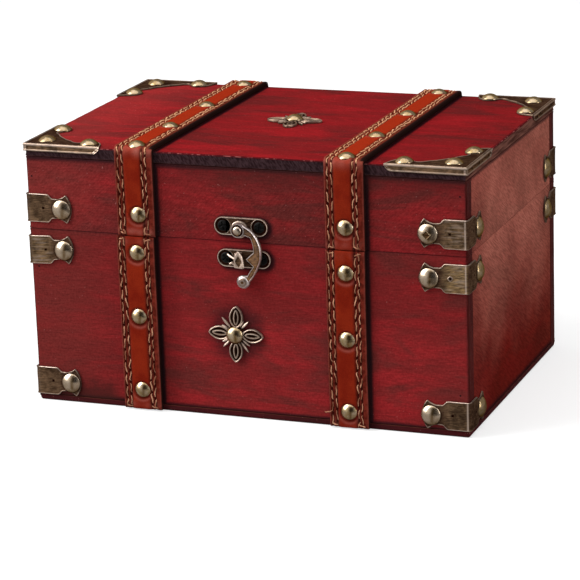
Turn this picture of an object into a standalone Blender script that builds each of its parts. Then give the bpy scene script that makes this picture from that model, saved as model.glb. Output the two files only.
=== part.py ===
"""Wooden storage chest: a boarded box with a hinged lid, leather straps and bronze fittings.

The front faces -Y, +X is to the right and +Z is up. The origin is the middle of the base board's
underside. All lengths are in metres. Run it in Blender's text editor or with
blender --background --python part.py
"""

import math
from collections import defaultdict

import bmesh
import bpy
from mathutils import Matrix, Vector

# Boards
WIDTH = 0.230
DEPTH = 0.155
BODY_HEIGHT = 0.091
LID_HEIGHT = 0.043
SEAM_GAP = 0.0004
WALL = 0.008
BASE_BOARD = 0.0032
TOP_BOARD = 0.0056
BOARD_BEVEL = 0.0005
FIT_GAP = 0.0003

# Domed tacks
TACK_RADIUS = 0.0044
TACK_RISE = 0.0026
TACK_SHANK_RADIUS = 0.0008
TACK_SHANK = 0.0040
TACK_EMBED = 0.0001
TACK_SIDES = 10
TACK_DOME_SHARES = (0.4, 0.75)
HOLE_SIDES = 6
HOLE_OVERRUN = 0.0004

# Leather straps
STRAP_WIDTH = 0.0203
STRAP_THICKNESS = 0.0027
STRAP_FOLD_RADIUS = 0.0033
STRAP_FOOT = 0.0008
STRAP_BACK_CLEAR = 0.0015
STRAP_TACK_PRESS = 0.0008
STRAP_TO_CORNER_PIECE = {"left": 0.0086, "right": 0.0094}
BODY_STRAP_SHIFT = {"left": -0.0009, "right": -0.0004}
STRAP_TOP_TACK_SHARES = {"left": (0.017, 0.29, 0.605, 0.948), "right": (0.017, 0.306, 0.623, 0.96)}
STRAP_LID_TACK_SHARE = 0.255
STRAP_BODY_TACK_SHARES = {"left": (0.905, 0.54, 0.112), "right": (0.872, 0.50, 0.088)}
FOLD_STEPS = 4

# Corner brackets
BRACKET_FRONT_LEG = 0.0242
BRACKET_SIDE_LEG = 0.0218
BRACKET_HEIGHT = 0.0145
BRACKET_EDGE = 0.0037
BRACKET_THICKNESS = 0.0008
BRACKET_TACK_SHARE = 0.79
BRACKET_NECK_SHARES = ((0.47, 1.0), (0.56, 0.72), (0.70, 0.70), (0.885, 1.0))
BRACKET_TAIL_STEPS = 4

# Corner pieces on the lid's top
CORNER_LEG = 0.041
CORNER_LIP = 0.0032
CORNER_LIP_BEVEL = 0.0042
CORNER_THICKNESS = 0.0007
CORNER_NEAR_TACK_SHARE = 0.195
CORNER_LEG_TACK_SHARE = 0.79
CORNER_TACK_INSET_SHARE = 0.127
CORNER_EDGE_SHARES = (
    (0.985, 0.06), (0.94, 0.18), (0.85, 0.25), (0.75, 0.25), (0.665, 0.165),
    (0.59, 0.175), (0.525, 0.235), (0.44, 0.29), (0.365, 0.365),
)

# Rosettes
ROSETTE_RADIUS = 0.0146
ROSETTE_PETAL_HALF_WIDTH = 0.0035
ROSETTE_SPRIG_RADIUS = 0.0105
ROSETTE_SPRIG_HALF_WIDTH = 0.0015
ROSETTE_THICKNESS = 0.0009
ROSETTE_PETAL_SHARES = ((0.34, 0.55), (0.48, 0.92), (0.62, 1.0), (0.80, 0.66))
ROSETTE_SPRIG_SHARES = ((0.52, 0.75), (0.72, 1.0), (0.88, 0.8))
FRONT_ROSETTE_OFFSET = -0.0048
FRONT_ROSETTE_HEIGHT = 0.0437
FRONT_ROSETTE_TURN = math.radians(-2)
TOP_ROSETTE_TURN = math.radians(4)

# Swing-hook latch
LATCH_PLATE_LENGTH = 0.028
LATCH_PLATE_HEIGHT = 0.009
LATCH_PLATE_THICKNESS = 0.0010
LATCH_PLATE_STEPS = 8
LATCH_EDGE = 0.0036
LATCH_BOSS_RISE = 0.0009
LATCH_SCREW_HEAD = 0.0028
LATCH_SCREW_SHANK_RADIUS = 0.0011
CATCH_OFFSET = 0.0010
PIVOT_OFFSET = -0.0007
PIVOT_DROP = 0.0013
RIVET_RADIUS = 0.0012
RIVET_HEAD_RADIUS = 0.0025
RIVET_HEAD_RISE = 0.0014
RIVET_CROWN_SHARES = (0.7, 0.6)
KEEPER_SHIFT = 0.0004
KEEPER_WIDTH = 0.0054
KEEPER_THICKNESS = 0.0010
KEEPER_LEG_SHARE = 0.6

# The hook, as shares of the drop from its pivot to the keeper
HOOK_THICKNESS = 0.0018
HOOK_EYE_RADIUS = 0.0038
HOOK_BALL_RADIUS = 0.0034
HOOK_ARC_CENTRE_SHARES = (-0.228, -0.738)
HOOK_OUTER_SHARE = 1.027
HOOK_INNER_SHARE = 0.752
HOOK_SPUR_SHARES = (0.242, -0.965)
HOOK_BALL_SHARES = (0.1275, -1.745)
HOOK_INSIDE_SHARES = ((-32.5, 0.855), (-48.9, 0.879))
HOOK_OUTSIDE_SHARES = ((-57, 1.15), (-43, 1.072))
HOOK_EYE_SWEEP = (62, 322)
HOOK_INSIDE_SWEEP = (38, 3)
HOOK_BALL_SWEEP = (118, 375)
HOOK_OUTSIDE_SWEEP = (-28, 50)
HOOK_STEPS = 8

# Screws
SCREW_SHANK = 0.0055
SCREW_RISE = 0.0004
SCREW_SIDES = 10
SCREW_CROWN_SHARE = 0.75

# Butt hinges at the back
HINGE_LENGTH = 0.022
HINGE_LEAF = 0.0135
HINGE_LEAF_THICKNESS = 0.0008
HINGE_BARREL_RADIUS = 0.0023
HINGE_PIN_RADIUS = 0.0011
HINGE_PIN_HEAD = 0.0017
HINGE_PIN_HEAD_LENGTH = 0.0008
HINGE_PIN_CROWN_SHARE = 0.7
HINGE_SCREW_SPACING = 0.012
HINGE_SCREW_HEAD = 0.0022
HINGE_SCREW_SHANK_RADIUS = 0.0010
HINGE_STOP_REACH = 0.0025
HINGE_STOP_HALF_THICKNESS = 0.0005
HINGE_BARREL_STEPS = 14
LID_OPENING = math.radians(105)

# Worked out from the sizes above
SEAM_HEIGHT = BODY_HEIGHT
HEIGHT = BODY_HEIGHT + LID_HEIGHT
BODY_TOP = SEAM_HEIGHT - SEAM_GAP / 2
LID_BOTTOM = SEAM_HEIGHT + SEAM_GAP / 2
WALL_FOOT = BASE_BOARD + FIT_GAP
LID_WALL_TOP = HEIGHT - TOP_BOARD - FIT_GAP
HINGE_AXIS = Vector((0, DEPTH / 2 + FIT_GAP + HINGE_BARREL_RADIUS, SEAM_HEIGHT))
HOOK_PLATE_HEIGHT = SEAM_HEIGHT + LATCH_EDGE + LATCH_PLATE_HEIGHT / 2
CATCH_PLATE_HEIGHT = SEAM_HEIGHT - LATCH_EDGE - LATCH_PLATE_HEIGHT / 2
PIVOT_HEIGHT = HOOK_PLATE_HEIGHT - PIVOT_DROP
PLATE_FACE = FIT_GAP + LATCH_PLATE_THICKNESS
HOOK_BACK = PLATE_FACE + LATCH_BOSS_RISE + FIT_GAP
HOOK_FACE = HOOK_BACK + HOOK_THICKNESS
KEEPER_FACE = HOOK_FACE + FIT_GAP + KEEPER_THICKNESS
STRAP_REACH = WIDTH / 2 - CORNER_LEG - STRAP_WIDTH / 2
LID_STRAP_X = {
    "left": STRAP_TO_CORNER_PIECE["left"] - STRAP_REACH,
    "right": STRAP_REACH - STRAP_TO_CORNER_PIECE["right"],
}
BODY_STRAP_X = {side: LID_STRAP_X[side] + BODY_STRAP_SHIFT[side] for side in LID_STRAP_X}
HINGE_X = {
    "left": (LID_STRAP_X["left"] + STRAP_WIDTH / 2) / 2,
    "right": (LID_STRAP_X["right"] - STRAP_WIDTH / 2) / 2,
}

# Each face's own axes: along it, up it and out of it
FACES = {
    "front": (Vector((1, 0, 0)), Vector((0, 0, 1)), Vector((0, -1, 0))),
    "back": (Vector((-1, 0, 0)), Vector((0, 0, 1)), Vector((0, 1, 0))),
    "right": (Vector((0, 1, 0)), Vector((0, 0, 1)), Vector((1, 0, 0))),
    "left": (Vector((0, -1, 0)), Vector((0, 0, 1)), Vector((-1, 0, 0))),
    "top": (Vector((1, 0, 0)), Vector((0, 1, 0)), Vector((0, 0, 1))),
}

holes = defaultdict(bmesh.new)


def clear_scene():
    for obj in list(bpy.data.objects):
        bpy.data.objects.remove(obj)


def material(name, colour, roughness, metallic):
    made = bpy.data.materials.new(name)
    made.use_nodes = True
    shader = made.node_tree.nodes["Principled BSDF"]
    shader.inputs["Base Color"].default_value = (*colour, 1)
    shader.inputs["Roughness"].default_value = roughness
    shader.inputs["Metallic"].default_value = metallic
    return made


def make_materials():
    return {
        "wood": material("red_stained_wood", (0.23, 0.012, 0.018), 0.5, 0.0),
        "leather": material("tan_leather", (0.34, 0.045, 0.012), 0.45, 0.0),
        "bronze": material("antique_bronze", (0.20, 0.155, 0.105), 0.4, 0.9),
        "brass": material("tack_brass", (0.50, 0.40, 0.27), 0.28, 0.95),
        "screw": material("black_screw", (0.02, 0.02, 0.022), 0.5, 0.7),
    }


def on_face(face, x, y, z):
    """The local frame at a point of a face: X along the face, Y up it, Z out of it."""
    along, up, out = FACES[face]
    frame = Matrix((along, up, out)).transposed().to_4x4()
    frame.translation = (x, y, z)
    return frame


def on_front(x, z):
    return on_face("front", x, -DEPTH / 2, z)


def on_back(x, z):
    return on_face("back", x, DEPTH / 2, z)


def on_side(side, y, z):
    face = "right" if side > 0 else "left"
    return on_face(face, side * WIDTH / 2, y, z)


def on_top(x, y):
    return on_face("top", x, y, HEIGHT)


def along_x(origin):
    """A frame whose Z runs along the world's X, with its X to the back and its Y up."""
    frame = Matrix(((0, 0, 1), (1, 0, 0), (0, 1, 0))).to_4x4()
    frame.translation = origin
    return frame


def prism(mesh, outline, low, high, frame):
    """Adds the closed solid between two heights over an outline that runs anticlockwise."""
    bottom = [mesh.verts.new(frame @ Vector((x, y, low))) for x, y in outline]
    top = [mesh.verts.new(frame @ Vector((x, y, high))) for x, y in outline]
    mesh.faces.new(reversed(bottom))
    mesh.faces.new(top)
    for i in range(len(outline)):
        j = (i + 1) % len(outline)
        mesh.faces.new((bottom[i], bottom[j], top[j], top[i]))


def turned(mesh, profile, sides, frame):
    """Adds a turned solid. The profile of (radius, height) starts and ends on the axis, top first."""
    rings = []
    for radius, height in profile[1:-1]:
        ring = []
        for i in range(sides):
            angle = 2 * math.pi * i / sides
            spot = Vector((radius * math.cos(angle), radius * math.sin(angle), height))
            ring.append(mesh.verts.new(frame @ spot))
        rings.append(ring)
    top = mesh.verts.new(frame @ Vector((0, 0, profile[0][1])))
    bottom = mesh.verts.new(frame @ Vector((0, 0, profile[-1][1])))
    for i in range(sides):
        j = (i + 1) % sides
        mesh.faces.new((top, rings[0][i], rings[0][j]))
        mesh.faces.new((bottom, rings[-1][j], rings[-1][i]))
        for upper, lower in zip(rings, rings[1:]):
            mesh.faces.new((upper[i], lower[i], lower[j], upper[j]))


def box(mesh, low, high):
    outline = [(low[0], low[1]), (high[0], low[1]), (high[0], high[1]), (low[0], high[1])]
    prism(mesh, outline, low[2], high[2], Matrix.Identity(4))


def arc(centre_x, centre_y, radius, start, end, steps):
    """Points on a round stretch, with both ends."""
    points = []
    for i in range(steps + 1):
        angle = start + (end - start) * i / steps
        points.append((centre_x + radius * math.cos(angle), centre_y + radius * math.sin(angle)))
    return points


def new_object(name, mesh, finish, parent=None):
    """A node from a finished bmesh, drawn smooth but for its sharp edges."""
    data = bpy.data.meshes.new(name)
    mesh.to_mesh(data)
    mesh.free()
    data.materials.append(finish)
    data.shade_smooth()
    data.set_sharp_from_angle(angle=math.radians(35))
    obj = bpy.data.objects.new(name, data)
    bpy.context.scene.collection.objects.link(obj)
    if parent:
        obj.parent = parent
        obj.matrix_parent_inverse = parent.matrix_world.inverted()
    return obj


def helper_object(name, mesh, finish):
    obj = new_object(name, mesh, finish)
    obj.hide_render = True
    obj.display_type = "WIRE"
    return obj


def combine(obj, operation, mesh, finish):
    """Joins a helper solid to an object, or cuts it from it."""
    other = helper_object(f"{obj.name}_{operation.lower()}_helper", mesh, finish)
    modifier = obj.modifiers.new(operation.title(), "BOOLEAN")
    modifier.operation = operation
    modifier.object = other
    modifier.solver = "EXACT"


def axis_empty(name, location, parent=None):
    empty = bpy.data.objects.new(name, None)
    empty.empty_display_size = TACK_RADIUS
    empty.location = location
    bpy.context.scene.collection.objects.link(empty)
    bpy.context.view_layer.update()
    if parent:
        empty.parent = parent
        empty.matrix_parent_inverse = parent.matrix_world.inverted()
        bpy.context.view_layer.update()
    return empty


# Tacks and screws


def add_tack(mesh, board, frame, seat):
    """A domed tack whose rim lies seat above the face, and the pilot hole of its shank."""
    ball = (TACK_RADIUS**2 + TACK_RISE**2) / (2 * TACK_RISE)
    slope = math.asin(TACK_RADIUS / ball)
    crown = seat + TACK_RISE
    turns = [slope * share for share in TACK_DOME_SHARES]
    dome = [(ball * math.sin(turn), crown - ball * (1 - math.cos(turn))) for turn in turns]
    profile = [(0, crown), *dome, (TACK_RADIUS, seat)]
    profile += [(TACK_SHANK_RADIUS, seat), (TACK_SHANK_RADIUS, -TACK_SHANK), (0, -TACK_SHANK)]
    turned(mesh, profile, TACK_SIDES, frame)
    drill(board, frame, TACK_SHANK_RADIUS, TACK_SHANK)


def drill(board, frame, radius, depth):
    """A pilot hole with clearance all round, added to the board's cutter."""
    wide = (radius + FIT_GAP) / math.cos(math.pi / HOLE_SIDES)
    floor = -depth - FIT_GAP
    profile = [(0, HOLE_OVERRUN), (wide, HOLE_OVERRUN), (wide, floor), (0, floor)]
    turned(holes[board], profile, HOLE_SIDES, frame)


def screw_profile(head, shank, plate, clearance):
    """A countersunk screw through a plate, or with a clearance the hole that it needs."""
    top = FIT_GAP + plate + (HOLE_OVERRUN + SCREW_RISE if clearance else SCREW_RISE)
    rim = FIT_GAP + plate
    under = FIT_GAP - clearance
    wide = head + clearance
    narrow = shank + clearance
    foot = -SCREW_SHANK - clearance
    crown = (wide if clearance else head * SCREW_CROWN_SHARE, top)
    return [(0, top), crown, (wide, rim), (narrow, under), (narrow, foot), (0, foot)]


def screw(name, board, plate_cut, frame, head, shank, plate, finish, parent):
    """A screw node, and its holes in the plate and in the board behind it."""
    mesh = bmesh.new()
    turned(mesh, screw_profile(head, shank, plate, 0), SCREW_SIDES, frame)
    new_object(name, mesh, finish, parent)
    turned(plate_cut, screw_profile(head, shank, plate, FIT_GAP), SCREW_SIDES, frame)
    drill(board, frame, shank, SCREW_SHANK)


# Boards


def make_boards(finish, lid):
    half_x, half_y = WIDTH / 2, DEPTH / 2
    inner_y = half_y - WALL - FIT_GAP
    boards = {}

    def board(name, low, high, parent=None):
        mesh = bmesh.new()
        box(mesh, low, high)
        obj = new_object(name, mesh, finish, parent)
        bevel = obj.modifiers.new("Bevel", "BEVEL")
        bevel.width = BOARD_BEVEL
        bevel.segments = 1
        boards[name] = obj

    board("base_board", (-half_x, -half_y, 0), (half_x, half_y, BASE_BOARD))
    board("lid_top_board", (-half_x, -half_y, HEIGHT - TOP_BOARD), (half_x, half_y, HEIGHT), lid)
    for part, low, high, parent in (
        ("body", WALL_FOOT, BODY_TOP, None),
        ("lid", LID_BOTTOM, LID_WALL_TOP, lid),
    ):
        board(f"{part}_front_wall", (-half_x, -half_y, low), (half_x, WALL - half_y, high), parent)
        board(f"{part}_back_wall", (-half_x, half_y - WALL, low), (half_x, half_y, high), parent)
        board(f"{part}_left_wall", (-half_x, -inner_y, low), (WALL - half_x, inner_y, high), parent)
        board(f"{part}_right_wall", (half_x - WALL, -inner_y, low), (half_x, inner_y, high), parent)
    return boards


# Straps


def make_straps(finishes, lid):
    for side in ("left", "right"):
        make_lid_strap(side, finishes, lid)
        make_body_strap(side, "front", finishes)
        make_body_strap(side, "back", finishes)


def strap_seat():
    return FIT_GAP + STRAP_THICKNESS - STRAP_TACK_PRESS


def make_lid_strap(side, finishes, lid):
    """One strap down the lid's front, over its top and down its back."""
    inner = DEPTH / 2 + FIT_GAP
    outer = inner + STRAP_THICKNESS
    low = HEIGHT + FIT_GAP
    high = low + STRAP_THICKNESS
    bend = STRAP_FOLD_RADIUS
    back_end = SEAM_HEIGHT + STRAP_BACK_CLEAR
    outline = [(-inner, LID_BOTTOM), (-inner, low), (inner, low), (inner, back_end), (outer, back_end)]
    outline += arc(outer - bend, high - bend, bend, 0, math.pi / 2, FOLD_STEPS)
    outline += arc(bend - outer, high - bend, bend, math.pi / 2, math.pi, FOLD_STEPS)
    outline.append((-outer, LID_BOTTOM))
    across = along_x(Vector((LID_STRAP_X[side], 0, 0)))
    mesh = bmesh.new()
    prism(mesh, outline, -STRAP_WIDTH / 2, STRAP_WIDTH / 2, across)
    bmesh.ops.recalc_face_normals(mesh, faces=mesh.faces)
    strap = new_object(f"lid_strap_{side}", mesh, finishes["leather"], lid)
    tacks = bmesh.new()
    x = LID_STRAP_X[side]
    drop = LID_BOTTOM + (HEIGHT - LID_BOTTOM) * STRAP_LID_TACK_SHARE
    add_tack(tacks, "lid_front_wall", on_front(x, drop), strap_seat())
    add_tack(tacks, "lid_back_wall", on_back(x, drop), strap_seat())
    for share in STRAP_TOP_TACK_SHARES[side]:
        add_tack(tacks, "lid_top_board", on_top(x, DEPTH * (share - 0.5)), strap_seat())
    combine(strap, "UNION", tacks, finishes["brass"])


def make_body_strap(side, face, finishes):
    x = BODY_STRAP_X[side]
    place = on_front if face == "front" else on_back
    top = BODY_TOP if face == "front" else SEAM_HEIGHT - STRAP_BACK_CLEAR
    half = STRAP_WIDTH / 2
    length = top - STRAP_FOOT
    mesh = bmesh.new()
    outline = [(-half, 0), (half, 0), (half, length), (-half, length)]
    prism(mesh, outline, FIT_GAP, FIT_GAP + STRAP_THICKNESS, place(x, STRAP_FOOT))
    strap = new_object(f"body_{face}_strap_{side}", mesh, finishes["leather"])
    tacks = bmesh.new()
    for share in STRAP_BODY_TACK_SHARES[side]:
        height = STRAP_FOOT + (BODY_TOP - STRAP_FOOT) * share
        add_tack(tacks, f"body_{face}_wall", place(x, height), strap_seat())
    combine(strap, "UNION", tacks, finishes["brass"])


# Corner brackets


def bracket_leg(length):
    """The upper half of a leg's outline, from the fold to the fishtail and its round end."""
    half = BRACKET_HEIGHT / 2
    neck = [(length * along, half * up) for along, up in BRACKET_NECK_SHARES]
    tip = neck[-1][0]
    sag = length - tip
    radius = (half**2 + sag**2) / (2 * sag)
    lean = math.asin(half / radius)
    end = arc(length - radius, 0, radius, lean, -lean, BRACKET_TAIL_STEPS)[1:-1]
    return [(0, half), *neck, *end, *[(u, -v) for u, v in reversed(neck)], (0, -half)]


def make_bracket(name, part, side, facing, middle, finishes, parent):
    """An L-shaped plate round a vertical edge: side is -1 left or 1 right, facing -1 front or 1 back."""
    fold_x = side * (WIDTH / 2 + FIT_GAP)
    fold_y = facing * (DEPTH / 2 + FIT_GAP)
    mesh = bmesh.new()
    fold = [mesh.verts.new((fold_x, fold_y, middle + s * BRACKET_HEIGHT / 2)) for s in (1, -1)]
    face_leg = bracket_leg(BRACKET_FRONT_LEG)[1:-1]
    side_leg = bracket_leg(BRACKET_SIDE_LEG)[1:-1]
    on_wall = [mesh.verts.new((fold_x - side * u, fold_y, middle + v)) for u, v in face_leg]
    on_flank = [mesh.verts.new((fold_x, fold_y - facing * u, middle + v)) for u, v in side_leg]
    mesh.faces.new((fold[0], *on_wall, fold[1]))
    mesh.faces.new((fold[1], *reversed(on_flank), fold[0]))
    face_outwards(mesh, Vector((side, facing, 0)))
    bracket = new_object(name, mesh, finishes["bronze"], parent)
    thicken(bracket, BRACKET_THICKNESS)
    tacks = bmesh.new()
    seat = FIT_GAP + BRACKET_THICKNESS - TACK_EMBED
    wall = "front" if facing < 0 else "back"
    flank = "right" if side > 0 else "left"
    tack_x = fold_x - side * BRACKET_FRONT_LEG * BRACKET_TACK_SHARE
    tack_y = fold_y - facing * BRACKET_SIDE_LEG * BRACKET_TACK_SHARE
    place = on_front if facing < 0 else on_back
    add_tack(tacks, f"{part}_{wall}_wall", place(tack_x, middle), seat)
    add_tack(tacks, f"{part}_{flank}_wall", on_side(side, tack_y, middle), seat)
    combine(bracket, "UNION", tacks, finishes["brass"])


def face_outwards(mesh, outward):
    """Turns the faces of a folded sheet so that each looks the way the corner points."""
    mesh.normal_update()
    wrong = [face for face in mesh.faces if face.normal.dot(outward) < 0]
    bmesh.ops.reverse_faces(mesh, faces=wrong)


def thicken(obj, thickness):
    solidify = obj.modifiers.new("Thickness", "SOLIDIFY")
    solidify.thickness = thickness
    solidify.offset = 1
    solidify.use_even_offset = True


def make_brackets(finishes, lid):
    reach = BRACKET_EDGE + BRACKET_HEIGHT / 2
    front, back = (-1, "front"), (1, "back")
    for part, level, middle, parent, ends in (
        ("lid", "lid", SEAM_HEIGHT + reach, lid, (front, back)),
        ("body", "body_upper", SEAM_HEIGHT - reach, None, (front, back)),
        ("body", "body_lower", reach, None, (front,)),
    ):
        for facing, end in ends:
            for side, hand in ((-1, "left"), (1, "right")):
                name = f"{level}_bracket_{end}_{hand}"
                make_bracket(name, part, side, facing, middle, finishes, parent)


# Corner pieces on the lid


def make_corner_piece(name, side, facing, finishes, parent):
    """A scalloped top plate with a lip down the two sides of the lid."""
    fold_x = side * (WIDTH / 2 + FIT_GAP)
    fold_y = facing * (DEPTH / 2 + FIT_GAP)
    level = HEIGHT + FIT_GAP

    def spot(along, inward, height):
        return mesh.verts.new((fold_x - side * along, fold_y - facing * inward, height))

    mesh = bmesh.new()
    corner = spot(0, 0, level)
    wall_end = spot(CORNER_LEG, 0, level)
    flank_end = spot(0, CORNER_LEG, level)
    shares = CORNER_EDGE_SHARES
    edge = [spot(CORNER_LEG * a, CORNER_LEG * b, level) for a, b in shares]
    edge += [spot(CORNER_LEG * b, CORNER_LEG * a, level) for a, b in reversed(shares[:-1])]
    low = level - CORNER_LIP
    foot = spot(0, 0, low)
    wall_foot = spot(CORNER_LEG - CORNER_LIP_BEVEL, 0, low)
    flank_foot = spot(0, CORNER_LEG - CORNER_LIP_BEVEL, low)
    mesh.faces.new((corner, wall_end, *edge, flank_end))
    mesh.faces.new((corner, wall_end, wall_foot, foot))
    mesh.faces.new((corner, flank_end, flank_foot, foot))
    face_outwards(mesh, Vector((side, facing, 1)))
    piece = new_object(name, mesh, finishes["bronze"], parent)
    thicken(piece, CORNER_THICKNESS)
    near = CORNER_LEG * CORNER_NEAR_TACK_SHARE
    far = CORNER_LEG * CORNER_LEG_TACK_SHARE
    inset = CORNER_LEG * CORNER_TACK_INSET_SHARE
    tacks = bmesh.new()
    for along, inward in ((near, near), (far, inset), (inset, far)):
        frame = on_top(fold_x - side * along, fold_y - facing * inward)
        add_tack(tacks, "lid_top_board", frame, FIT_GAP + CORNER_THICKNESS - TACK_EMBED)
    combine(piece, "UNION", tacks, finishes["brass"])


def make_corner_pieces(finishes, lid):
    for facing, end in ((-1, "front"), (1, "back")):
        for side, hand in ((-1, "left"), (1, "right")):
            make_corner_piece(f"lid_corner_{end}_{hand}", side, facing, finishes, lid)


# Rosettes


def lobe(angle, length, half_width, shares):
    """A pointed lobe, from its right root round its tip to its left root."""
    right = [(length * along, -half_width * across) for along, across in shares]
    left = [(u, -v) for u, v in reversed(right)]
    turn = Matrix.Rotation(angle, 2)
    return [tuple(turn @ Vector(point)) for point in (*right, (length, 0), *left)]


def make_rosette(name, board, frame, turn, finishes, parent):
    outline = []
    for i in range(4):
        angle = i * math.pi / 2
        outline += lobe(angle, ROSETTE_RADIUS, ROSETTE_PETAL_HALF_WIDTH, ROSETTE_PETAL_SHARES)
        middle = angle + math.pi / 4
        outline += lobe(middle, ROSETTE_SPRIG_RADIUS, ROSETTE_SPRIG_HALF_WIDTH, ROSETTE_SPRIG_SHARES)
    turned_frame = frame @ Matrix.Rotation(turn, 4, "Z")
    mesh = bmesh.new()
    prism(mesh, outline, FIT_GAP, FIT_GAP + ROSETTE_THICKNESS, turned_frame)
    rosette = new_object(name, mesh, finishes["bronze"], parent)
    centre_cut = bmesh.new()
    wide = (TACK_SHANK_RADIUS + FIT_GAP) / math.cos(math.pi / HOLE_SIDES)
    top = FIT_GAP + ROSETTE_THICKNESS + HOLE_OVERRUN
    profile = [(0, top), (wide, top), (wide, -HOLE_OVERRUN), (0, -HOLE_OVERRUN)]
    turned(centre_cut, profile, HOLE_SIDES, frame)
    combine(rosette, "DIFFERENCE", centre_cut, finishes["bronze"])
    tack = bmesh.new()
    add_tack(tack, board, frame, FIT_GAP + ROSETTE_THICKNESS + FIT_GAP)
    new_object(f"{name}_tack", tack, finishes["brass"], parent)


def make_rosettes(finishes, lid):
    front = on_front(FRONT_ROSETTE_OFFSET, FRONT_ROSETTE_HEIGHT)
    make_rosette("front_rosette", "body_front_wall", front, FRONT_ROSETTE_TURN, finishes, None)
    make_rosette("top_rosette", "lid_top_board", on_top(0, 0), TOP_ROSETTE_TURN, finishes, lid)


# Latch


def plate_outline():
    """A long plate with round ends."""
    radius = LATCH_PLATE_HEIGHT / 2
    reach = LATCH_PLATE_LENGTH / 2 - radius
    right = arc(reach, 0, radius, -math.pi / 2, math.pi / 2, LATCH_PLATE_STEPS)
    left = arc(-reach, 0, radius, math.pi / 2, 3 * math.pi / 2, LATCH_PLATE_STEPS)
    return right + left


def make_latch_plate(name, screw_name, board, frame, finishes, parent):
    mesh = bmesh.new()
    prism(mesh, plate_outline(), FIT_GAP, PLATE_FACE, frame)
    plate = new_object(name, mesh, finishes["bronze"], parent)
    cut = bmesh.new()
    reach = LATCH_PLATE_LENGTH / 2 - LATCH_PLATE_HEIGHT / 2
    for x, hand in ((-reach, "left"), (reach, "right")):
        spot = frame @ Matrix.Translation((x, 0, 0))
        sizes = (LATCH_SCREW_HEAD, LATCH_SCREW_SHANK_RADIUS, LATCH_PLATE_THICKNESS)
        screw(f"{screw_name}_{hand}", board, cut, spot, *sizes, finishes["screw"], parent)
    return plate, cut


def make_hook_plate(finishes, lid):
    """The lid's plate, with the raised boss that the hook turns on."""
    frame = on_front(0, HOOK_PLATE_HEIGHT)
    plate, cut = make_latch_plate("hook_plate", "hook_plate_screw", "lid_front_wall", frame, finishes, lid)
    pivot = on_front(PIVOT_OFFSET, PIVOT_HEIGHT)
    boss = bmesh.new()
    face = PLATE_FACE + LATCH_BOSS_RISE
    foot = PLATE_FACE - TACK_EMBED
    radius = HOOK_EYE_RADIUS
    turned(boss, [(0, face), (radius, face), (radius, foot), (0, foot)], TACK_SIDES, pivot)
    combine(plate, "UNION", boss, finishes["bronze"])
    bore = RIVET_RADIUS + FIT_GAP
    top = face + HOLE_OVERRUN
    turned(cut, [(0, top), (bore, top), (bore, -HOLE_OVERRUN), (0, -HOLE_OVERRUN)], TACK_SIDES, pivot)
    combine(plate, "DIFFERENCE", cut, finishes["bronze"])


def keeper_legs():
    """The keeper's section, bent from the plate round the space that the spur goes in."""
    wall = KEEPER_THICKNESS
    root = PLATE_FACE - TACK_EMBED
    under = KEEPER_FACE - wall
    front = KEEPER_FACE - TACK_EMBED
    foot = LATCH_PLATE_HEIGHT / 2 - TACK_EMBED
    crown = foot - wall
    outside = [(-root, foot), (-front, crown), (-front, -crown), (-root, -foot)]
    inside = [(-root, wall - foot), (-under, wall - crown), (-under, crown - wall), (-root, foot - wall)]
    mesh = bmesh.new()
    frame = along_x(Vector((PIVOT_OFFSET + KEEPER_SHIFT, -DEPTH / 2, CATCH_PLATE_HEIGHT)))
    leg_end = KEEPER_WIDTH * KEEPER_LEG_SHARE - KEEPER_WIDTH / 2
    prism(mesh, outside + inside, -KEEPER_WIDTH / 2, leg_end, frame)
    bmesh.ops.recalc_face_normals(mesh, faces=mesh.faces)
    return mesh


def keeper_bridge():
    """The keeper's front, which reaches past its legs to the right."""
    middle = PIVOT_OFFSET + KEEPER_SHIFT
    half = KEEPER_WIDTH / 2
    crown = LATCH_PLATE_HEIGHT / 2 - TACK_EMBED - KEEPER_THICKNESS
    front = -DEPTH / 2 - KEEPER_FACE
    under = front + KEEPER_THICKNESS - TACK_EMBED
    mesh = bmesh.new()
    box(
        mesh,
        (middle - half, front, CATCH_PLATE_HEIGHT - crown),
        (middle + half, under, CATCH_PLATE_HEIGHT + crown),
    )
    return mesh


def make_catch_plate(finishes):
    """The body's plate, with the keeper loop that the hook's spur slides behind."""
    frame = on_front(CATCH_OFFSET, CATCH_PLATE_HEIGHT)
    plate, cut = make_latch_plate("catch_plate", "catch_plate_screw", "body_front_wall", frame, finishes, None)
    combine(plate, "UNION", keeper_legs(), finishes["bronze"])
    combine(plate, "UNION", keeper_bridge(), finishes["bronze"])
    combine(plate, "DIFFERENCE", cut, finishes["bronze"])


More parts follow.
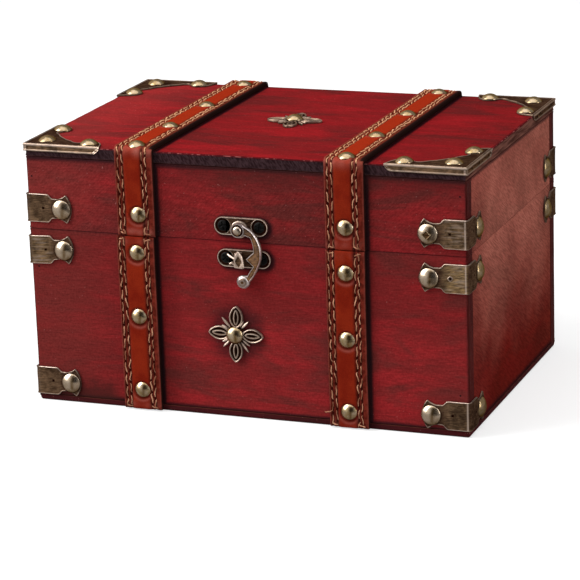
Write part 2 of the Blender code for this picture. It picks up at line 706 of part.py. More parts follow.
def hook_outline():
    """The hook's outline about its pivot: eye, curved arm, pointed spur and round end."""
    drop = PIVOT_HEIGHT - CATCH_PLATE_HEIGHT
    centre = [drop * share for share in HOOK_ARC_CENTRE_SHARES]

    def polar(table):
        points = []
        for degrees, share in table:
            angle = math.radians(degrees)
            x = centre[0] + drop * share * math.cos(angle)
            points.append((x, centre[1] + drop * share * math.sin(angle)))
        return points

    def sweep(middle, radius, degrees, steps):
        return arc(*middle, radius, *[math.radians(angle) for angle in degrees], steps)

    eye = sweep((0, 0), HOOK_EYE_RADIUS, HOOK_EYE_SWEEP, HOOK_STEPS)
    inside = sweep(centre, drop * HOOK_INNER_SHARE, HOOK_INSIDE_SWEEP, HOOK_STEPS // 2)
    spur = [tuple(drop * share for share in HOOK_SPUR_SHARES)]
    ball_centre = [drop * share for share in HOOK_BALL_SHARES]
    ball = sweep(ball_centre, HOOK_BALL_RADIUS, HOOK_BALL_SWEEP, HOOK_STEPS)
    outside = sweep(centre, drop * HOOK_OUTER_SHARE, HOOK_OUTSIDE_SWEEP, HOOK_STEPS)
    return [*eye, *inside, *spur, *polar(HOOK_INSIDE_SHARES), *ball, *polar(HOOK_OUTSIDE_SHARES), *outside]


def make_hook(finishes, axis):
    pivot = on_front(PIVOT_OFFSET, PIVOT_HEIGHT)
    mesh = bmesh.new()
    prism(mesh, hook_outline(), HOOK_BACK, HOOK_FACE, pivot)
    hook = new_object("hook", mesh, finishes["bronze"], axis)
    cut = bmesh.new()
    bore = RIVET_RADIUS + FIT_GAP
    top = HOOK_FACE + HOLE_OVERRUN
    foot = HOOK_BACK - HOLE_OVERRUN
    turned(cut, [(0, top), (bore, top), (bore, foot), (0, foot)], TACK_SIDES, pivot)
    combine(hook, "DIFFERENCE", cut, finishes["bronze"])


def make_hook_rivet(finishes, lid):
    pivot = on_front(PIVOT_OFFSET, PIVOT_HEIGHT)
    base = HOOK_FACE + FIT_GAP
    top = base + RIVET_HEAD_RISE
    across, up = RIVET_CROWN_SHARES
    shoulder = (RIVET_HEAD_RADIUS * across, base + RIVET_HEAD_RISE * up)
    profile = [(0, top), shoulder, (RIVET_HEAD_RADIUS, base)]
    profile += [(RIVET_RADIUS, base), (RIVET_RADIUS, FIT_GAP), (0, FIT_GAP)]
    mesh = bmesh.new()
    turned(mesh, profile, TACK_SIDES, pivot)
    new_object("hook_rivet", mesh, finishes["brass"], lid)


# Hinges


def knuckle_outline(up, stop):
    """A barrel's section with its tab down to the leaf, in (out, up) about the pin's axis.

    up is -1 for the body's leaf below the axis and 1 for the lid's above it. stop is the angle of
    the lug that rests on the body's leaf when the lid is open, or None.
    """
    radius = HINGE_BARREL_RADIUS
    thickness = HINGE_LEAF_THICKNESS
    root = radius + FIT_GAP + HOLE_OVERRUN
    start = math.acos((thickness - radius) / radius)
    points = [(-radius, root), (thickness - radius, root)]
    for angle, distance in barrel_angles(start, stop):
        points.append((distance * math.cos(angle), distance * math.sin(angle)))
    outline = [(out, up * height) for out, height in points]
    return outline


def barrel_angles(start, stop):
    """Angles from the tab round the barrel to the wall, with the lug's corners where it has one."""
    radius = HINGE_BARREL_RADIUS
    angles = [start + (-math.pi - start) * i / HINGE_BARREL_STEPS for i in range(HINGE_BARREL_STEPS + 1)]
    if stop is None:
        return [(angle, radius) for angle in angles]
    half = math.asin(HINGE_STOP_HALF_THICKNESS / radius)
    reach = math.hypot(radius + HINGE_STOP_REACH, HINGE_STOP_HALF_THICKNESS)
    tip = math.atan2(HINGE_STOP_HALF_THICKNESS, radius + HINGE_STOP_REACH)
    before = [(angle, radius) for angle in angles if angle > stop + half]
    after = [(angle, radius) for angle in angles if angle < stop - half]
    lug = [(stop + half, radius), (stop + tip, reach), (stop - tip, reach), (stop - half, radius)]
    return before + lug + after


def stop_angle():
    """Where the lug stands with the lid shut, so that it meets the body's leaf at the full opening."""
    reach = math.hypot(HINGE_BARREL_RADIUS + HINGE_STOP_REACH, HINGE_STOP_HALF_THICKNESS)
    tip = math.atan2(HINGE_STOP_HALF_THICKNESS, HINGE_BARREL_RADIUS + HINGE_STOP_REACH)
    leaf_face = HINGE_BARREL_RADIUS - HINGE_LEAF_THICKNESS - FIT_GAP
    return tip - math.acos(-leaf_face / reach) + LID_OPENING


def make_leaf(hand, up, finishes, parent):
    """One leaf of a hinge: plate, knuckles, pin bore and screws. up is -1 on the body, 1 on the lid."""
    level = "upper" if up > 0 else "lower"
    board = "lid_back_wall" if up > 0 else "body_back_wall"
    centre = HINGE_X[hand]
    axis_frame = along_x(HINGE_AXIS + Vector((centre, 0, 0)))
    half = HINGE_LENGTH / 2
    near = HINGE_BARREL_RADIUS + FIT_GAP
    heights = sorted((up * near, up * HINGE_LEAF))
    wall_face = DEPTH / 2 + FIT_GAP
    mesh = bmesh.new()
    low = (centre - half, wall_face, SEAM_HEIGHT + heights[0])
    high = (centre + half, wall_face + HINGE_LEAF_THICKNESS, SEAM_HEIGHT + heights[1])
    box(mesh, low, high)
    leaf = new_object(f"hinge_{hand}_{level}_leaf", mesh, finishes["bronze"], parent)

    third = HINGE_LENGTH / 3
    gap = FIT_GAP / 2
    if up > 0:
        spans = [(-third / 2 + gap, third / 2 - gap)]
    else:
        spans = [(-half, -third / 2 - gap), (third / 2 + gap, half)]
    stop = stop_angle() if up > 0 else None
    knuckles = bmesh.new()
    for start, end in spans:
        prism(knuckles, knuckle_outline(up, stop), start, end, axis_frame)
    bmesh.ops.recalc_face_normals(knuckles, faces=knuckles.faces)
    combine(leaf, "UNION", knuckles, finishes["bronze"])

    cut = bmesh.new()
    bore = (HINGE_PIN_RADIUS + FIT_GAP) / math.cos(math.pi / HINGE_BARREL_STEPS)
    reach = half + HOLE_OVERRUN
    bore_outline = arc(0, 0, bore, 0, 2 * math.pi, HINGE_BARREL_STEPS)[:-1]
    prism(cut, bore_outline, -reach, reach, axis_frame)
    height = SEAM_HEIGHT + up * (near + HINGE_LEAF) / 2
    for x, end in ((-HINGE_SCREW_SPACING / 2, "a"), (HINGE_SCREW_SPACING / 2, "b")):
        spot = on_back(centre + x, height)
        sizes = (HINGE_SCREW_HEAD, HINGE_SCREW_SHANK_RADIUS, HINGE_LEAF_THICKNESS)
        screw(f"hinge_{hand}_{level}_screw_{end}", board, cut, spot, *sizes, finishes["screw"], parent)
    combine(leaf, "DIFFERENCE", cut, finishes["bronze"])


def make_pin(hand, finishes):
    """The pin, with a round head past each end knuckle."""
    shaft = HINGE_LENGTH / 2 + FIT_GAP
    end = shaft + HINGE_PIN_HEAD_LENGTH
    crown = HINGE_PIN_HEAD * HINGE_PIN_CROWN_SHARE
    profile = [(0, end), (crown, end), (HINGE_PIN_HEAD, shaft), (HINGE_PIN_RADIUS, shaft)]
    profile += [(radius, -height) for radius, height in reversed(profile)]
    mesh = bmesh.new()
    turned(mesh, profile, TACK_SIDES, along_x(HINGE_AXIS + Vector((HINGE_X[hand], 0, 0))))
    new_object(f"hinge_{hand}_pin", mesh, finishes["bronze"])


def make_hinges(finishes, lid):
    for hand in HINGE_X:
        make_leaf(hand, -1, finishes, None)
        make_leaf(hand, 1, finishes, lid)
        make_pin(hand, finishes)


def cut_boards(boards, finish):
    """Cuts the pilot holes that the tacks and screws have asked for."""
    for name, mesh in holes.items():
        combine(boards[name], "DIFFERENCE", mesh, finish)


def build():
    clear_scene()
    finishes = make_materials()
    lid = axis_empty("lid_axis", HINGE_AXIS)
    pivot = Vector((PIVOT_OFFSET, -DEPTH / 2, PIVOT_HEIGHT))
    hook_axis = axis_empty("hook_axis", pivot, lid)
    boards = make_boards(finishes["wood"], lid)
    make_straps(finishes, lid)
    make_brackets(finishes, lid)
    make_corner_pieces(finishes, lid)
    make_rosettes(finishes, lid)
    make_hook_plate(finishes, lid)
    make_catch_plate(finishes)
    make_hook(finishes, hook_axis)
    make_hook_rivet(finishes, lid)
    make_hinges(finishes, lid)
    cut_boards(boards, finishes["wood"])


build()
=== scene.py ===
"""The looks of the wooden storage chest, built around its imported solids.

The front faces -Y, +X is to the right and +Z is up. All lengths are in metres.
"""

import math
import random
from functools import partial, reduce
from itertools import zip_longest

import bpy
from mathutils import Matrix, Vector, noise
from mathutils.geometry import intersect_point_line


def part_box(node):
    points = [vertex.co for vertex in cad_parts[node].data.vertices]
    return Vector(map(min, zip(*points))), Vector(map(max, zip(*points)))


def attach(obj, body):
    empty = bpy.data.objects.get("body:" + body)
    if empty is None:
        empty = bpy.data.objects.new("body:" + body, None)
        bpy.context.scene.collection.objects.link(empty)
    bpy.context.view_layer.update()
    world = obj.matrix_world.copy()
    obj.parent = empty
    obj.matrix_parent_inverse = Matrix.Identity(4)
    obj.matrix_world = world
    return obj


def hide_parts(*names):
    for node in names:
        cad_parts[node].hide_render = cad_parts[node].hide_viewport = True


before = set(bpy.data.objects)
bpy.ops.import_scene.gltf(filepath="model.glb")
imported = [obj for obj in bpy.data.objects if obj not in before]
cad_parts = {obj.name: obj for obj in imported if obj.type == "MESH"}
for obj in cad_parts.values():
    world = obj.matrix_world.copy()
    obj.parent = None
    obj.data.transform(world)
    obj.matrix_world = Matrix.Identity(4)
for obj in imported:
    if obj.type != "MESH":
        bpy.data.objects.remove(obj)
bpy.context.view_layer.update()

MM = 0.001

# The chest's outside, from the frame
BASE_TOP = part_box("base_board")[1]
HALF_X, HALF_Y = BASE_TOP.x, BASE_TOP.y
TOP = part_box("lid_top_board")[1].z
SEAM = (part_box("body_front_wall")[1].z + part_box("lid_front_wall")[0].z) / 2
JOINTS = (SEAM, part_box("lid_top_board")[0].z, BASE_TOP.z)
GAP = 0.3 * MM
ON_AXIS = 0.0001 * MM

# Boards
BOARD_MARGINS = (0.0, 0.15 * MM, 0.4 * MM, 0.8 * MM, 1.3 * MM, 2.0 * MM)
GRID_STEP = 4 * MM
EDGE_ROUND = 0.45 * MM
CORNER_ROUND = 0.9 * MM
FOOT_ROUND = 2.2 * MM
JOINT_ROUND = 0.14 * MM
SEAM_CRACK = 0.2 * MM
WORN_REACH = 3 * MM

# Straps
STRAP_THICKNESS = 2.7 * MM
STRAP_FOLD = 3.3 * MM
STRAP_STEP = 0.55 * MM
BEND_STEPS = 10
STRAP_EDGE_ROUND = 0.55 * MM
STRAP_BACK_CLEAR = 1.5 * MM
STRAP_TOP_CLEAR = 0.2 * MM
BLACKENED_EDGE = 1.2 * MM
LID_ROWS = (-8.2 * MM, -6.05 * MM, 4.6 * MM, 6.5 * MM)
BODY_ROWS = (-8.4 * MM, -6.2 * MM, 5.1 * MM, 6.95 * MM)
STITCH_PITCH = 6.4 * MM
STITCH_LENGTH = 5.0 * MM
STITCH_RADIUS = 0.31 * MM
STITCH_PHASE_SHARES = (0.0, 0.35, 0.6, 0.15)
STITCH_END = 0.8 * MM
SHORTEST_STITCH = 1.6 * MM
GROOVE_WIDTH = 0.8 * MM
GROOVE_DEPTH = 0.42 * MM
BORDER_SINK = 0.30 * MM
TOP_TACK_SHARES = {"left": (0.017, 0.29, 0.605, 0.948), "right": (0.017, 0.306, 0.623, 0.96)}
LID_TACK_SHARE = 0.255
TACK_SHIFTS = {"left": (1.2 * MM, 0.5 * MM), "right": (0.0, 0.0)}
BODY_TACK_SHARES = {"left": (0.905, 0.54, 0.112), "right": (0.872, 0.50, 0.088)}
LOOSE_THREAD = ((0, 0, 0), (-1.2, -0.5, -0.8), (-2.6, -0.4, -1.0), (-3.8, 0.4, -1.6), (-4.9, 1.6, -1.7))

# Domed tacks
TACK_RADIUS = 4.4 * MM
TACK_RISE = 2.3 * MM
TOP_TACK_RISE = 2.35 * MM
BRACKET_TACK_RADIUS = 5.1 * MM
BRACKET_TACK_RISE = 2.1 * MM
CORNER_TACK_RADIUS = 4.6 * MM
TACK_PRESS = 0.8 * MM
TACK_SINK = 0.1 * MM
TACK_RINGS = 12
TACK_SIDES = 40

# Screws
SCREW_RINGS = 14
SCREW_SIDES = 48
SCREW_RISE = 0.42 * MM
SLOT_HALF_WIDTH = 0.42 * MM
SLOT_DEPTH = 0.55 * MM
SLOT_LENGTH_SHARE = 0.72

# Brackets
FRONT_LEG = 24.2 * MM
SIDE_LEG = 21.8 * MM
BRACKET_HEIGHT = 14.5 * MM
BRACKET_EDGE = 3.7 * MM
BRACKET_THICKNESS = 0.8 * MM
BRACKET_FOLD = 0.6 * MM
BRACKET_STEP = 0.5 * MM
BRACKET_CELLS = 30
BRACKET_TACK_SHARES = {-1: (0.772, 0.81), 1: (0.815, 0.79)}
BRACKET_TACK_DROPS = (0.4 * MM, 0.2 * MM)
BRACKET_TILTS = {"body_upper_bracket_front_left": 0.04}
DIAMOND_HOLE_BRACKET = "body_upper_bracket_front_right"
BRACKET_GILT = {
    "body_upper_bracket_front_right": 1.0, "lid_bracket_front_right": 0.2,
    "body_upper_bracket_front_left": 0.38,
}
BRACKET_PATINA = {
    "body_upper_bracket_front_right": 0.0, "lid_bracket_front_right": 0.06,
    "body_lower_bracket_front_right": 0.26, "body_lower_bracket_front_left": 0.54,
}
USUAL_GILT = 0.08
USUAL_PATINA = 0.38
BRACKET_OUTLINE_SHARES = (
    (0.0, 1.0), (0.455, 1.0), (0.485, 0.97), (0.545, 0.75), (0.575, 0.71), (0.69, 0.695),
    (0.745, 0.735), (0.81, 0.83), (0.865, 0.955), (0.885, 1.0),
)
TIP_SHARE = BRACKET_OUTLINE_SHARES[-1][0]
RIM_WIDTH = 0.36 * MM
RIM_RISE = 0.3 * MM
NAIL_HOLE = 0.62 * MM
NAIL_HOLE_PLACE = 8.7 * MM

# Corner pieces
CORNER_LEG = 41 * MM
CORNER_LIP = 3.2 * MM
CORNER_LIP_BEVEL = 4.6 * MM
CORNER_THICKNESS = 0.7 * MM
CORNER_TACK_SHARES = ((0.212, 0.212), (0.80, 0.150), (0.150, 0.80))
CORNER_EDGE_SHARES = (
    (0.985, 0.06), (0.94, 0.18), (0.85, 0.25), (0.75, 0.25), (0.665, 0.165),
    (0.59, 0.175), (0.525, 0.235), (0.44, 0.29), (0.365, 0.365),
)
LIP_PROFILE_SHARES = (
    (0.0, 0.06), (0.62, 0.0), (0.95, 0.07), (1.0, 0.16), (0.95, 0.25), (0.55, 0.33), (0.62, 0.45),
    (0.68, 0.58), (0.55, 0.70), (0.62, 0.76), (1.0, 0.83), (1.0, 0.93), (0.7, 1.0), (0.0, 1.0),
)

# Rosettes
ROSETTE_RADIUS = 14.6 * MM
PETAL_HALF_WIDTH = 3.6 * MM
ROSETTE_HEIGHT = 1.2 * MM
ROSETTE_TACK_SHIFT = (-0.5 * MM, -0.5 * MM)
SPRIGS = (
    ((0.05, 9.9 * MM, 0.62 * MM), (0.29, 8.4 * MM, 0.5 * MM)),
    ((-0.04, 11.2 * MM, 0.62 * MM), (0.28, 8.6 * MM, 0.7 * MM)),
    ((0.03, 10.0 * MM, 0.62 * MM), (-0.22, 8.6 * MM, 0.7 * MM)),
    ((-0.13, 11.0 * MM, 0.55 * MM), (0.15, 9.2 * MM, 0.5 * MM)),
)

# Latch
PLATE_THICKNESS = 1.0 * MM
LATCH_PLATE_HEIGHT = 9.0 * MM
LATCH_EDGE = 3.6 * MM
LATCH_LOBE = 3.9 * MM
LOBE_OPENING = 88
LATCH_SCREW_RADIUS = 2.75 * MM
PIVOT_DROP = 1.3 * MM
PIVOT_X = -0.7 * MM
HOOK_FOOT = 2.5 * MM
HOOK_THICKNESS = 1.8 * MM
HOOK_EYE_RADIUS = 3.8 * MM
HOOK_BALL_RADIUS = 3.4 * MM
HOOK_SIDES = 36
HOOK_ARC_CENTRE_SHARES = (-0.228, -0.738)
HOOK_OUTER_SHARE = 1.027
HOOK_INNER_SHARE = 0.752
HOOK_TAPER_SHARE = 0.075
HOOK_SPUR_SHARES = (0.242, -0.965)
HOOK_BALL_SHARES = (0.1275, -1.745)
HOOK_INSIDE_SHARES = ((-32.5, 0.855), (-40, 0.862), (-48.9, 0.879), (-57, 0.93))
HOOK_OUTSIDE_SHARES = ((-62, 1.165), (-57, 1.14), (-50, 1.105), (-43, 1.072), (-35, 1.045))
RIVET_RADIUS = 2.35 * MM
RIVET_RISE = 1.4 * MM
RIVET_FOOT = 4.6 * MM
KEEPER_FACE = 5.6 * MM
KEEPER_SHIFT = 0.4 * MM
KEEPER_PIT_RADIUS = 2.25 * MM
KEEPER_PIT_DROP = 0.6 * MM
KEEPER_OUTLINE = (
    (-2.1, -3.7), (0.2, -4.0), (2.3, -3.9), (2.75, -3.2), (2.5, -0.6), (2.0, 2.0), (1.2, 3.3), (0.7, 4.2),
    (0.0, 4.6), (-0.7, 4.2), (-1.1, 3.4), (-1.9, 2.6), (-2.3, 0.8), (-2.5, -3.0), (-2.1, -3.7),
)
KEEPER_BARS = (
    (((-6.9, 2.1, 1.9), (-6.2, 1.9, 2.5), (-5.0, 1.3, 2.9), (-3.6, 0.7, 3.4), (-2.2, 0.2, 3.9)), 0.55 * MM),
    (((-6.4, -3.0, 1.0), (-5.2, -2.4, 1.2), (-4.4, -2.9, 1.2), (-3.6, -3.4, 1.0)), 0.5 * MM),
)

# Hinges
BARREL_RADIUS = 2.3 * MM
BORE_RADIUS = 1.2 * MM
LEAF_REACH = 13.5 * MM
LEAF_CORNER = 1.6 * MM
LEAF_THICKNESS = 0.8 * MM
HINGE_SCREW_RADIUS = 2.1 * MM
HINGE_SCREW_REACH = 6 * MM
LUG_HALF_WIDTH = 0.5 * MM
LUG_REACH = (1.4 * MM, 4.75 * MM)
LUG_TURN = math.radians(6.5)

# Camera, as fitted to the box's corners in the photograph
WIDTH = 2 * HALF_X
CAMERA_YAW = 21.15
CAMERA_PITCH = 16.25
CAMERA_ROLL = math.radians(-1.94)
CAMERA_DISTANCE = 6.19 * WIDTH
CAMERA_TARGET = Vector((-0.025 * WIDTH, 0, 0.192 * WIDTH))
CAMERA_LENS = 169.9
CAMERA_SENSOR = 36

# Studio
AMBIENT = 0.30
DIM_SIDE = 22
DIM_COSINES = (math.cos(math.radians(34)), math.cos(math.radians(17)))
FLOOR_DIM_SIDE = 34
FLOOR_DIM_COSINES = (math.cos(math.radians(27)), math.cos(math.radians(15)))
FLOOR_REACH = 30.0
FLOOR_COLOUR = (0.52, 0.52, 0.52)
FLOOR_DIM_COLOUR = (0.08, 0.07, 0.06)

random.seed(11)


# Node helpers


class Nodes:
    """A node tree, with short calls for the nodes that the looks are made of."""

    def __init__(self, tree):
        self.tree = tree

    def add(self, kind, **settings):
        node = self.tree.nodes.new(kind)
        for name, value in settings.items():
            setattr(node, name, value)
        return node

    def put(self, socket, value):
        if isinstance(value, bpy.types.NodeSocket):
            self.tree.links.new(value, socket)
        elif socket.type == "RGBA":
            socket.default_value = (*value[:3], 1)
        else:
            socket.default_value = value

    def fill(self, node, values, first=0):
        """Puts the values into the node's inputs, in order."""
        for socket, value in zip(list(node.inputs)[first:], values):
            self.put(socket, value)
        return node.outputs

    def fill_named(self, node, **values):
        """Puts the values into the node's inputs of the same names."""
        for name, value in values.items():
            self.put(node.inputs[name], value)
        return node.outputs

    def math(self, operation, *values):
        return self.fill(self.add("ShaderNodeMath", operation=operation), values)[0]

    def total(self, *values):
        return reduce(partial(self.math, "ADD"), values)

    def times(self, *values):
        return reduce(partial(self.math, "MULTIPLY"), values)

    def most(self, *values):
        return reduce(partial(self.math, "MAXIMUM"), values)

    def least(self, *values):
        return reduce(partial(self.math, "MINIMUM"), values)

    def minus(self, first, second):
        return self.math("SUBTRACT", first, second)

    def size(self, value):
        return self.math("ABSOLUTE", value)

    def span(self, across, up):
        """How far a point lies from where both values are 0."""
        return self.math("SQRT", self.total(self.times(across, across), self.times(up, up)))

    def sway(self, noise_value, reach):
        """Noise turned into a shift to either side."""
        return self.times(self.minus(noise_value, 0.5), reach)

    def ramp(self, value, start, end, low=0.0, high=1.0):
        node = self.add("ShaderNodeMapRange", interpolation_type="SMOOTHSTEP")
        return self.fill(node, (value, start, end, low, high))[0]

    def split(self, vector):
        return self.fill(self.add("ShaderNodeSeparateXYZ"), (vector,))

    def vector(self, operation, *values):
        return self.fill(self.add("ShaderNodeVectorMath", operation=operation), values)

    def blend(self, factor, first, second):
        """A mix of two plain values."""
        node = self.add("ShaderNodeMix")
        self.put(node.inputs[0], factor)
        return self.fill(node, (first, second), 2)[0]


class Shader(Nodes):
    """A material's nodes."""

    def __init__(self, name):
        self.material = bpy.data.materials.new(name)
        self.material.use_nodes = True
        super().__init__(self.material.node_tree)
        self.surface = self.tree.nodes["Principled BSDF"]
        self.place = self.add("ShaderNodeTexCoord").outputs["Object"]

    def set(self, **values):
        for name, value in values.items():
            self.put(self.surface.inputs[name.replace("_", " ").title().replace("Ior", "IOR")], value)

    def noise(self, per_metre, detail=2.0, roughness=0.5, distortion=0.0, turn=(0, 0, 0), shift=0.0):
        """Noise with so many features to the metre, or its own number of them along each axis."""
        scale = (per_metre,) * 3 if isinstance(per_metre, (int, float)) else per_metre
        turned_node, stretched, node = (
            self.add(f"ShaderNode{kind}") for kind in ("Mapping", "Mapping", "TexNoise")
        )
        place = self.fill_named(turned_node, Vector=self.place, Rotation=turn)[0]
        location = (shift, shift * 0.7, shift * 1.3)
        place = self.fill_named(stretched, Vector=place, Scale=scale, Location=location)[0]
        self.fill_named(node, Vector=place, Scale=1.0, Detail=detail)
        self.fill_named(node, Roughness=roughness, Distortion=distortion)
        return node.outputs["Fac"]

    def mix(self, factor, first, second, blend="MIX"):
        node = self.add("ShaderNodeMix", data_type="RGBA", blend_type=blend)
        self.put(node.inputs[0], factor)
        return self.fill(node, (first, second), 6)[2]

    def scale_colour(self, colour, factor):
        node = self.add("ShaderNodeVectorMath", operation="SCALE")
        return self.fill_named(node, Vector=colour, Scale=factor)[0]

    def shade(self, colour, value, start, end, low, high):
        """The colour made darker or lighter as a value grows."""
        return self.scale_colour(colour, self.ramp(value, start, end, low, high))

    def attribute(self, name):
        return self.add("ShaderNodeAttribute", attribute_name=name).outputs["Fac"]

    def bump(self, height, distance, strength=1.0):
        node = self.add("ShaderNodeBump")
        bumped = self.fill_named(node, Strength=strength, Distance=distance, Height=height)[0]
        self.put(self.surface.inputs["Normal"], bumped)


# Materials

CRIMSON = (0.272, 0.0180, 0.0200)
DEEP_RED = (0.188, 0.0180, 0.0180)
DULL_RED = (0.108, 0.0215, 0.0190)
# Dark paint, whose colour is also used for the painted shadows on the wood
DARK_PAINT_AND_SHADE = (0.0170, 0.0085, 0.0105)
SMUDGE = (0.052, 0.0150, 0.0130)
ARRIS = (0.55, 0.24, 0.21)
SPECK = (0.62, 0.30, 0.27)
END_GRAIN = (0.064, 0.0095, 0.0085)
# The pale colour of the painted sheen high up on the side walls
SHEEN_TAN = (0.375, 0.125, 0.090)
BRUSHED_RED = (0.175, 0.0300, 0.0230)
SIDE_RED = (0.125, 0.0100, 0.0060)
SIDE_BROWN = (0.150, 0.060, 0.034)
FADED_RED = (0.150, 0.0290, 0.0240)
PLANK_EDGE = (0.150, 0.062, 0.046)
EDGE_PAINT = (0.030, 0.0165, 0.0190)
TOP_TINT = (1.0, 0.66, 0.72)
INSIDE_STAIN = (0.075, 0.022, 0.014)
BRAD_MARKS = (
    (-112.3 * MM, 118 * MM), (111.8 * MM, 120.5 * MM), (110.5 * MM, 21.4 * MM), (-111.2 * MM, 71.2 * MM),
)
BRAD_SIZE = 0.6 * MM
SKIN = 2.5 * MM

# The edges darkened with dark paint, each as (axis, end, width, strength). Along the tops of the lid's walls,
# under the top board, the darkening is painted shade as well.
UPRIGHT_BORDERS = ((0, 0, 1.2 * MM, 0.5), (0, 1, 1.6 * MM, 0.6))
FRONT_BORDERS = {
    "body": (*UPRIGHT_BORDERS, (2, 0, 2.0 * MM, 0.85), (2, 1, 0.8 * MM, 0.3)),
    "lid": (
        *UPRIGHT_BORDERS, (2, 1, 3.2 * MM, 0.90), (2, 1, 9 * MM, 0.18), (2, 0, 0.8 * MM, 0.3),
        (2, 0, 9 * MM, 0.12),
    ),
}
SIDE_BORDERS = {
    "body": ((2, 0, 3.0 * MM, 0.8), (2, 1, 0.6 * MM, 0.15)),
    "lid": ((2, 1, 1.2 * MM, 0.7), (2, 0, 0.6 * MM, 0.15)),
}
TOP_BORDERS = ((0, 0, 1.2 * MM, 0.6), (0, 1, 1.6 * MM, 0.6), (1, 0, 1.6 * MM, 0.75), (1, 1, 1.2 * MM, 0.6))
BASE_BORDERS = ((2, 0, 30 * MM, 0.75), (2, 1, 1.5 * MM, 0.5))


def along_grain(grain, lengthwise, across):
    return [lengthwise if axis == grain else across for axis in range(3)]


def wood(name, box, grain, shift, borders=(), straps=(), hatch=0.0, gloss=0.006, streaks=1.0):
    """Stained wood under strokes of dark paint, with painted shadow beside the straps.

    grain is the axis that its streaks run along, and straps are the sides of the straps over it.
    """
    s = Shader(name)
    low, high = box
    place = s.split(s.place)
    wide_streaks = along_grain(grain, 20, 180 + 250 * streaks)
    patches = [value * 2.1 for value in along_grain(grain, 13, 46)]

    streak = s.noise(wide_streaks, detail=5, roughness=0.62, distortion=0.4, shift=shift)
    cloud = s.noise(along_grain(grain, 13, 46), detail=4, roughness=0.6, distortion=0.8, shift=shift + 3)
    patch = s.noise(patches, detail=4, roughness=0.65, distortion=0.6, shift=shift + 9)
    fibre = s.noise(along_grain(grain, 190, 2600), detail=4, roughness=0.65, shift=shift)
    mottle = s.noise(900, detail=2, shift=shift)

    tone = s.total(s.times(streak, 0.3 * streaks), s.times(patch, 1.1 - 0.3 * streaks))
    colour = s.mix(s.ramp(tone, 0.44, 0.70), DEEP_RED, CRIMSON)
    dull = s.times(s.ramp(s.total(cloud, s.times(streak, 0.16)), 0.54, 0.74), 0.85)
    colour = s.mix(dull, colour, DULL_RED)
    if grain == 0:
        faded = s.ramp(s.total(place[0], s.times(cloud, 0.06)), -0.030, -0.075)
        colour = s.mix(s.times(faded, 0.5), colour, FADED_RED)
    lightness = s.times(s.ramp(fibre, 0.3, 0.7, 0.82, 1.15), s.ramp(mottle, 0.3, 0.7, 0.88, 1.12))
    if hatch:
        strokes = s.noise((240, 240, 1900), detail=2, turn=(0.5, 0.4, 0), shift=shift)
        lightness = s.times(lightness, s.ramp(strokes, 0.36, 0.64, 1 - hatch, 1 + hatch))
    colour = s.scale_colour(colour, lightness)

    dark_paint_and_shadow = 0.0
    for axis, end, width, strength in borders:
        distance = s.minus(high[axis], place[axis]) if end else s.minus(place[axis], low[axis])
        distance = s.total(distance, s.sway(cloud, width * 1.1), s.sway(streak, width * 0.5))
        dark_paint_and_shadow = s.most(dark_paint_and_shadow, s.times(s.ramp(distance, width, width * 0.08), strength))
    # Painted shadow: a dark stripe beside each strap's right edge, and a fainter one beside its left edge
    for left, right in straps:
        past = s.minus(place[0], right)
        stripe = s.times(s.ramp(past, -1.0 * MM, 0.0), s.ramp(past, 2.6 * MM, 0.9 * MM), 0.95)
        before = s.minus(left, place[0])
        shadow = s.times(s.ramp(before, -1.0 * MM, 0.0), s.ramp(before, 1.4 * MM, 0.1 * MM), 0.6)
        dark_paint_and_shadow = s.most(dark_paint_and_shadow, stripe, shadow)
    colour = s.mix(dark_paint_and_shadow, colour, DARK_PAINT_AND_SHADE)

    near_side = s.minus(HALF_X, s.size(place[0]))
    near_front = s.minus(HALF_Y, s.size(place[1]))
    near_end = s.least(place[2], s.minus(TOP, place[2]))
    edge = s.most(s.least(near_side, near_front), s.least(s.most(near_side, near_front), near_end))
    rubbing = s.noise(420, detail=4, roughness=0.65, shift=shift)
    worn = s.times(s.ramp(edge, 0.45 * MM, 0.12 * MM), s.ramp(rubbing, 0.50, 0.62), 0.6)
    colour = s.mix(worn, colour, ARRIS)
    specks = s.noise(950, detail=1, shift=shift)
    colour = s.mix(s.ramp(specks, 0.74, 0.78, 0.0, 0.22), colour, SPECK)
    s.set(base_color=colour, roughness=s.ramp(streak, 0.3, 0.7, 0.38, 0.55), specular_ior_level=gloss)
    s.bump(s.total(s.times(fibre, 0.6), s.times(streak, 0.6)), 0.2 * MM, 0.8)
    return s, colour, place


def inside_wood(s, grain, shift):
    """The plain stained wood on the inside faces."""
    streak = s.noise(along_grain(grain, 14, 330), detail=5, roughness=0.6, distortion=0.5, shift=shift)
    cloud = s.noise(40, detail=3, shift=shift)
    lightness = s.times(s.ramp(streak, 0.3, 0.7, 0.55, 1.5), s.ramp(cloud, 0.3, 0.7, 0.8, 1.2))
    return s.scale_colour(INSIDE_STAIN, lightness)


def brad_marks(s, colour, place):
    for x, z in BRAD_MARKS:
        distance = s.span(s.minus(place[0], x), s.minus(place[2], z))
        colour = s.mix(s.ramp(distance, BRAD_SIZE, BRAD_SIZE * 0.6), colour, DARK_PAINT_AND_SHADE)
    return colour


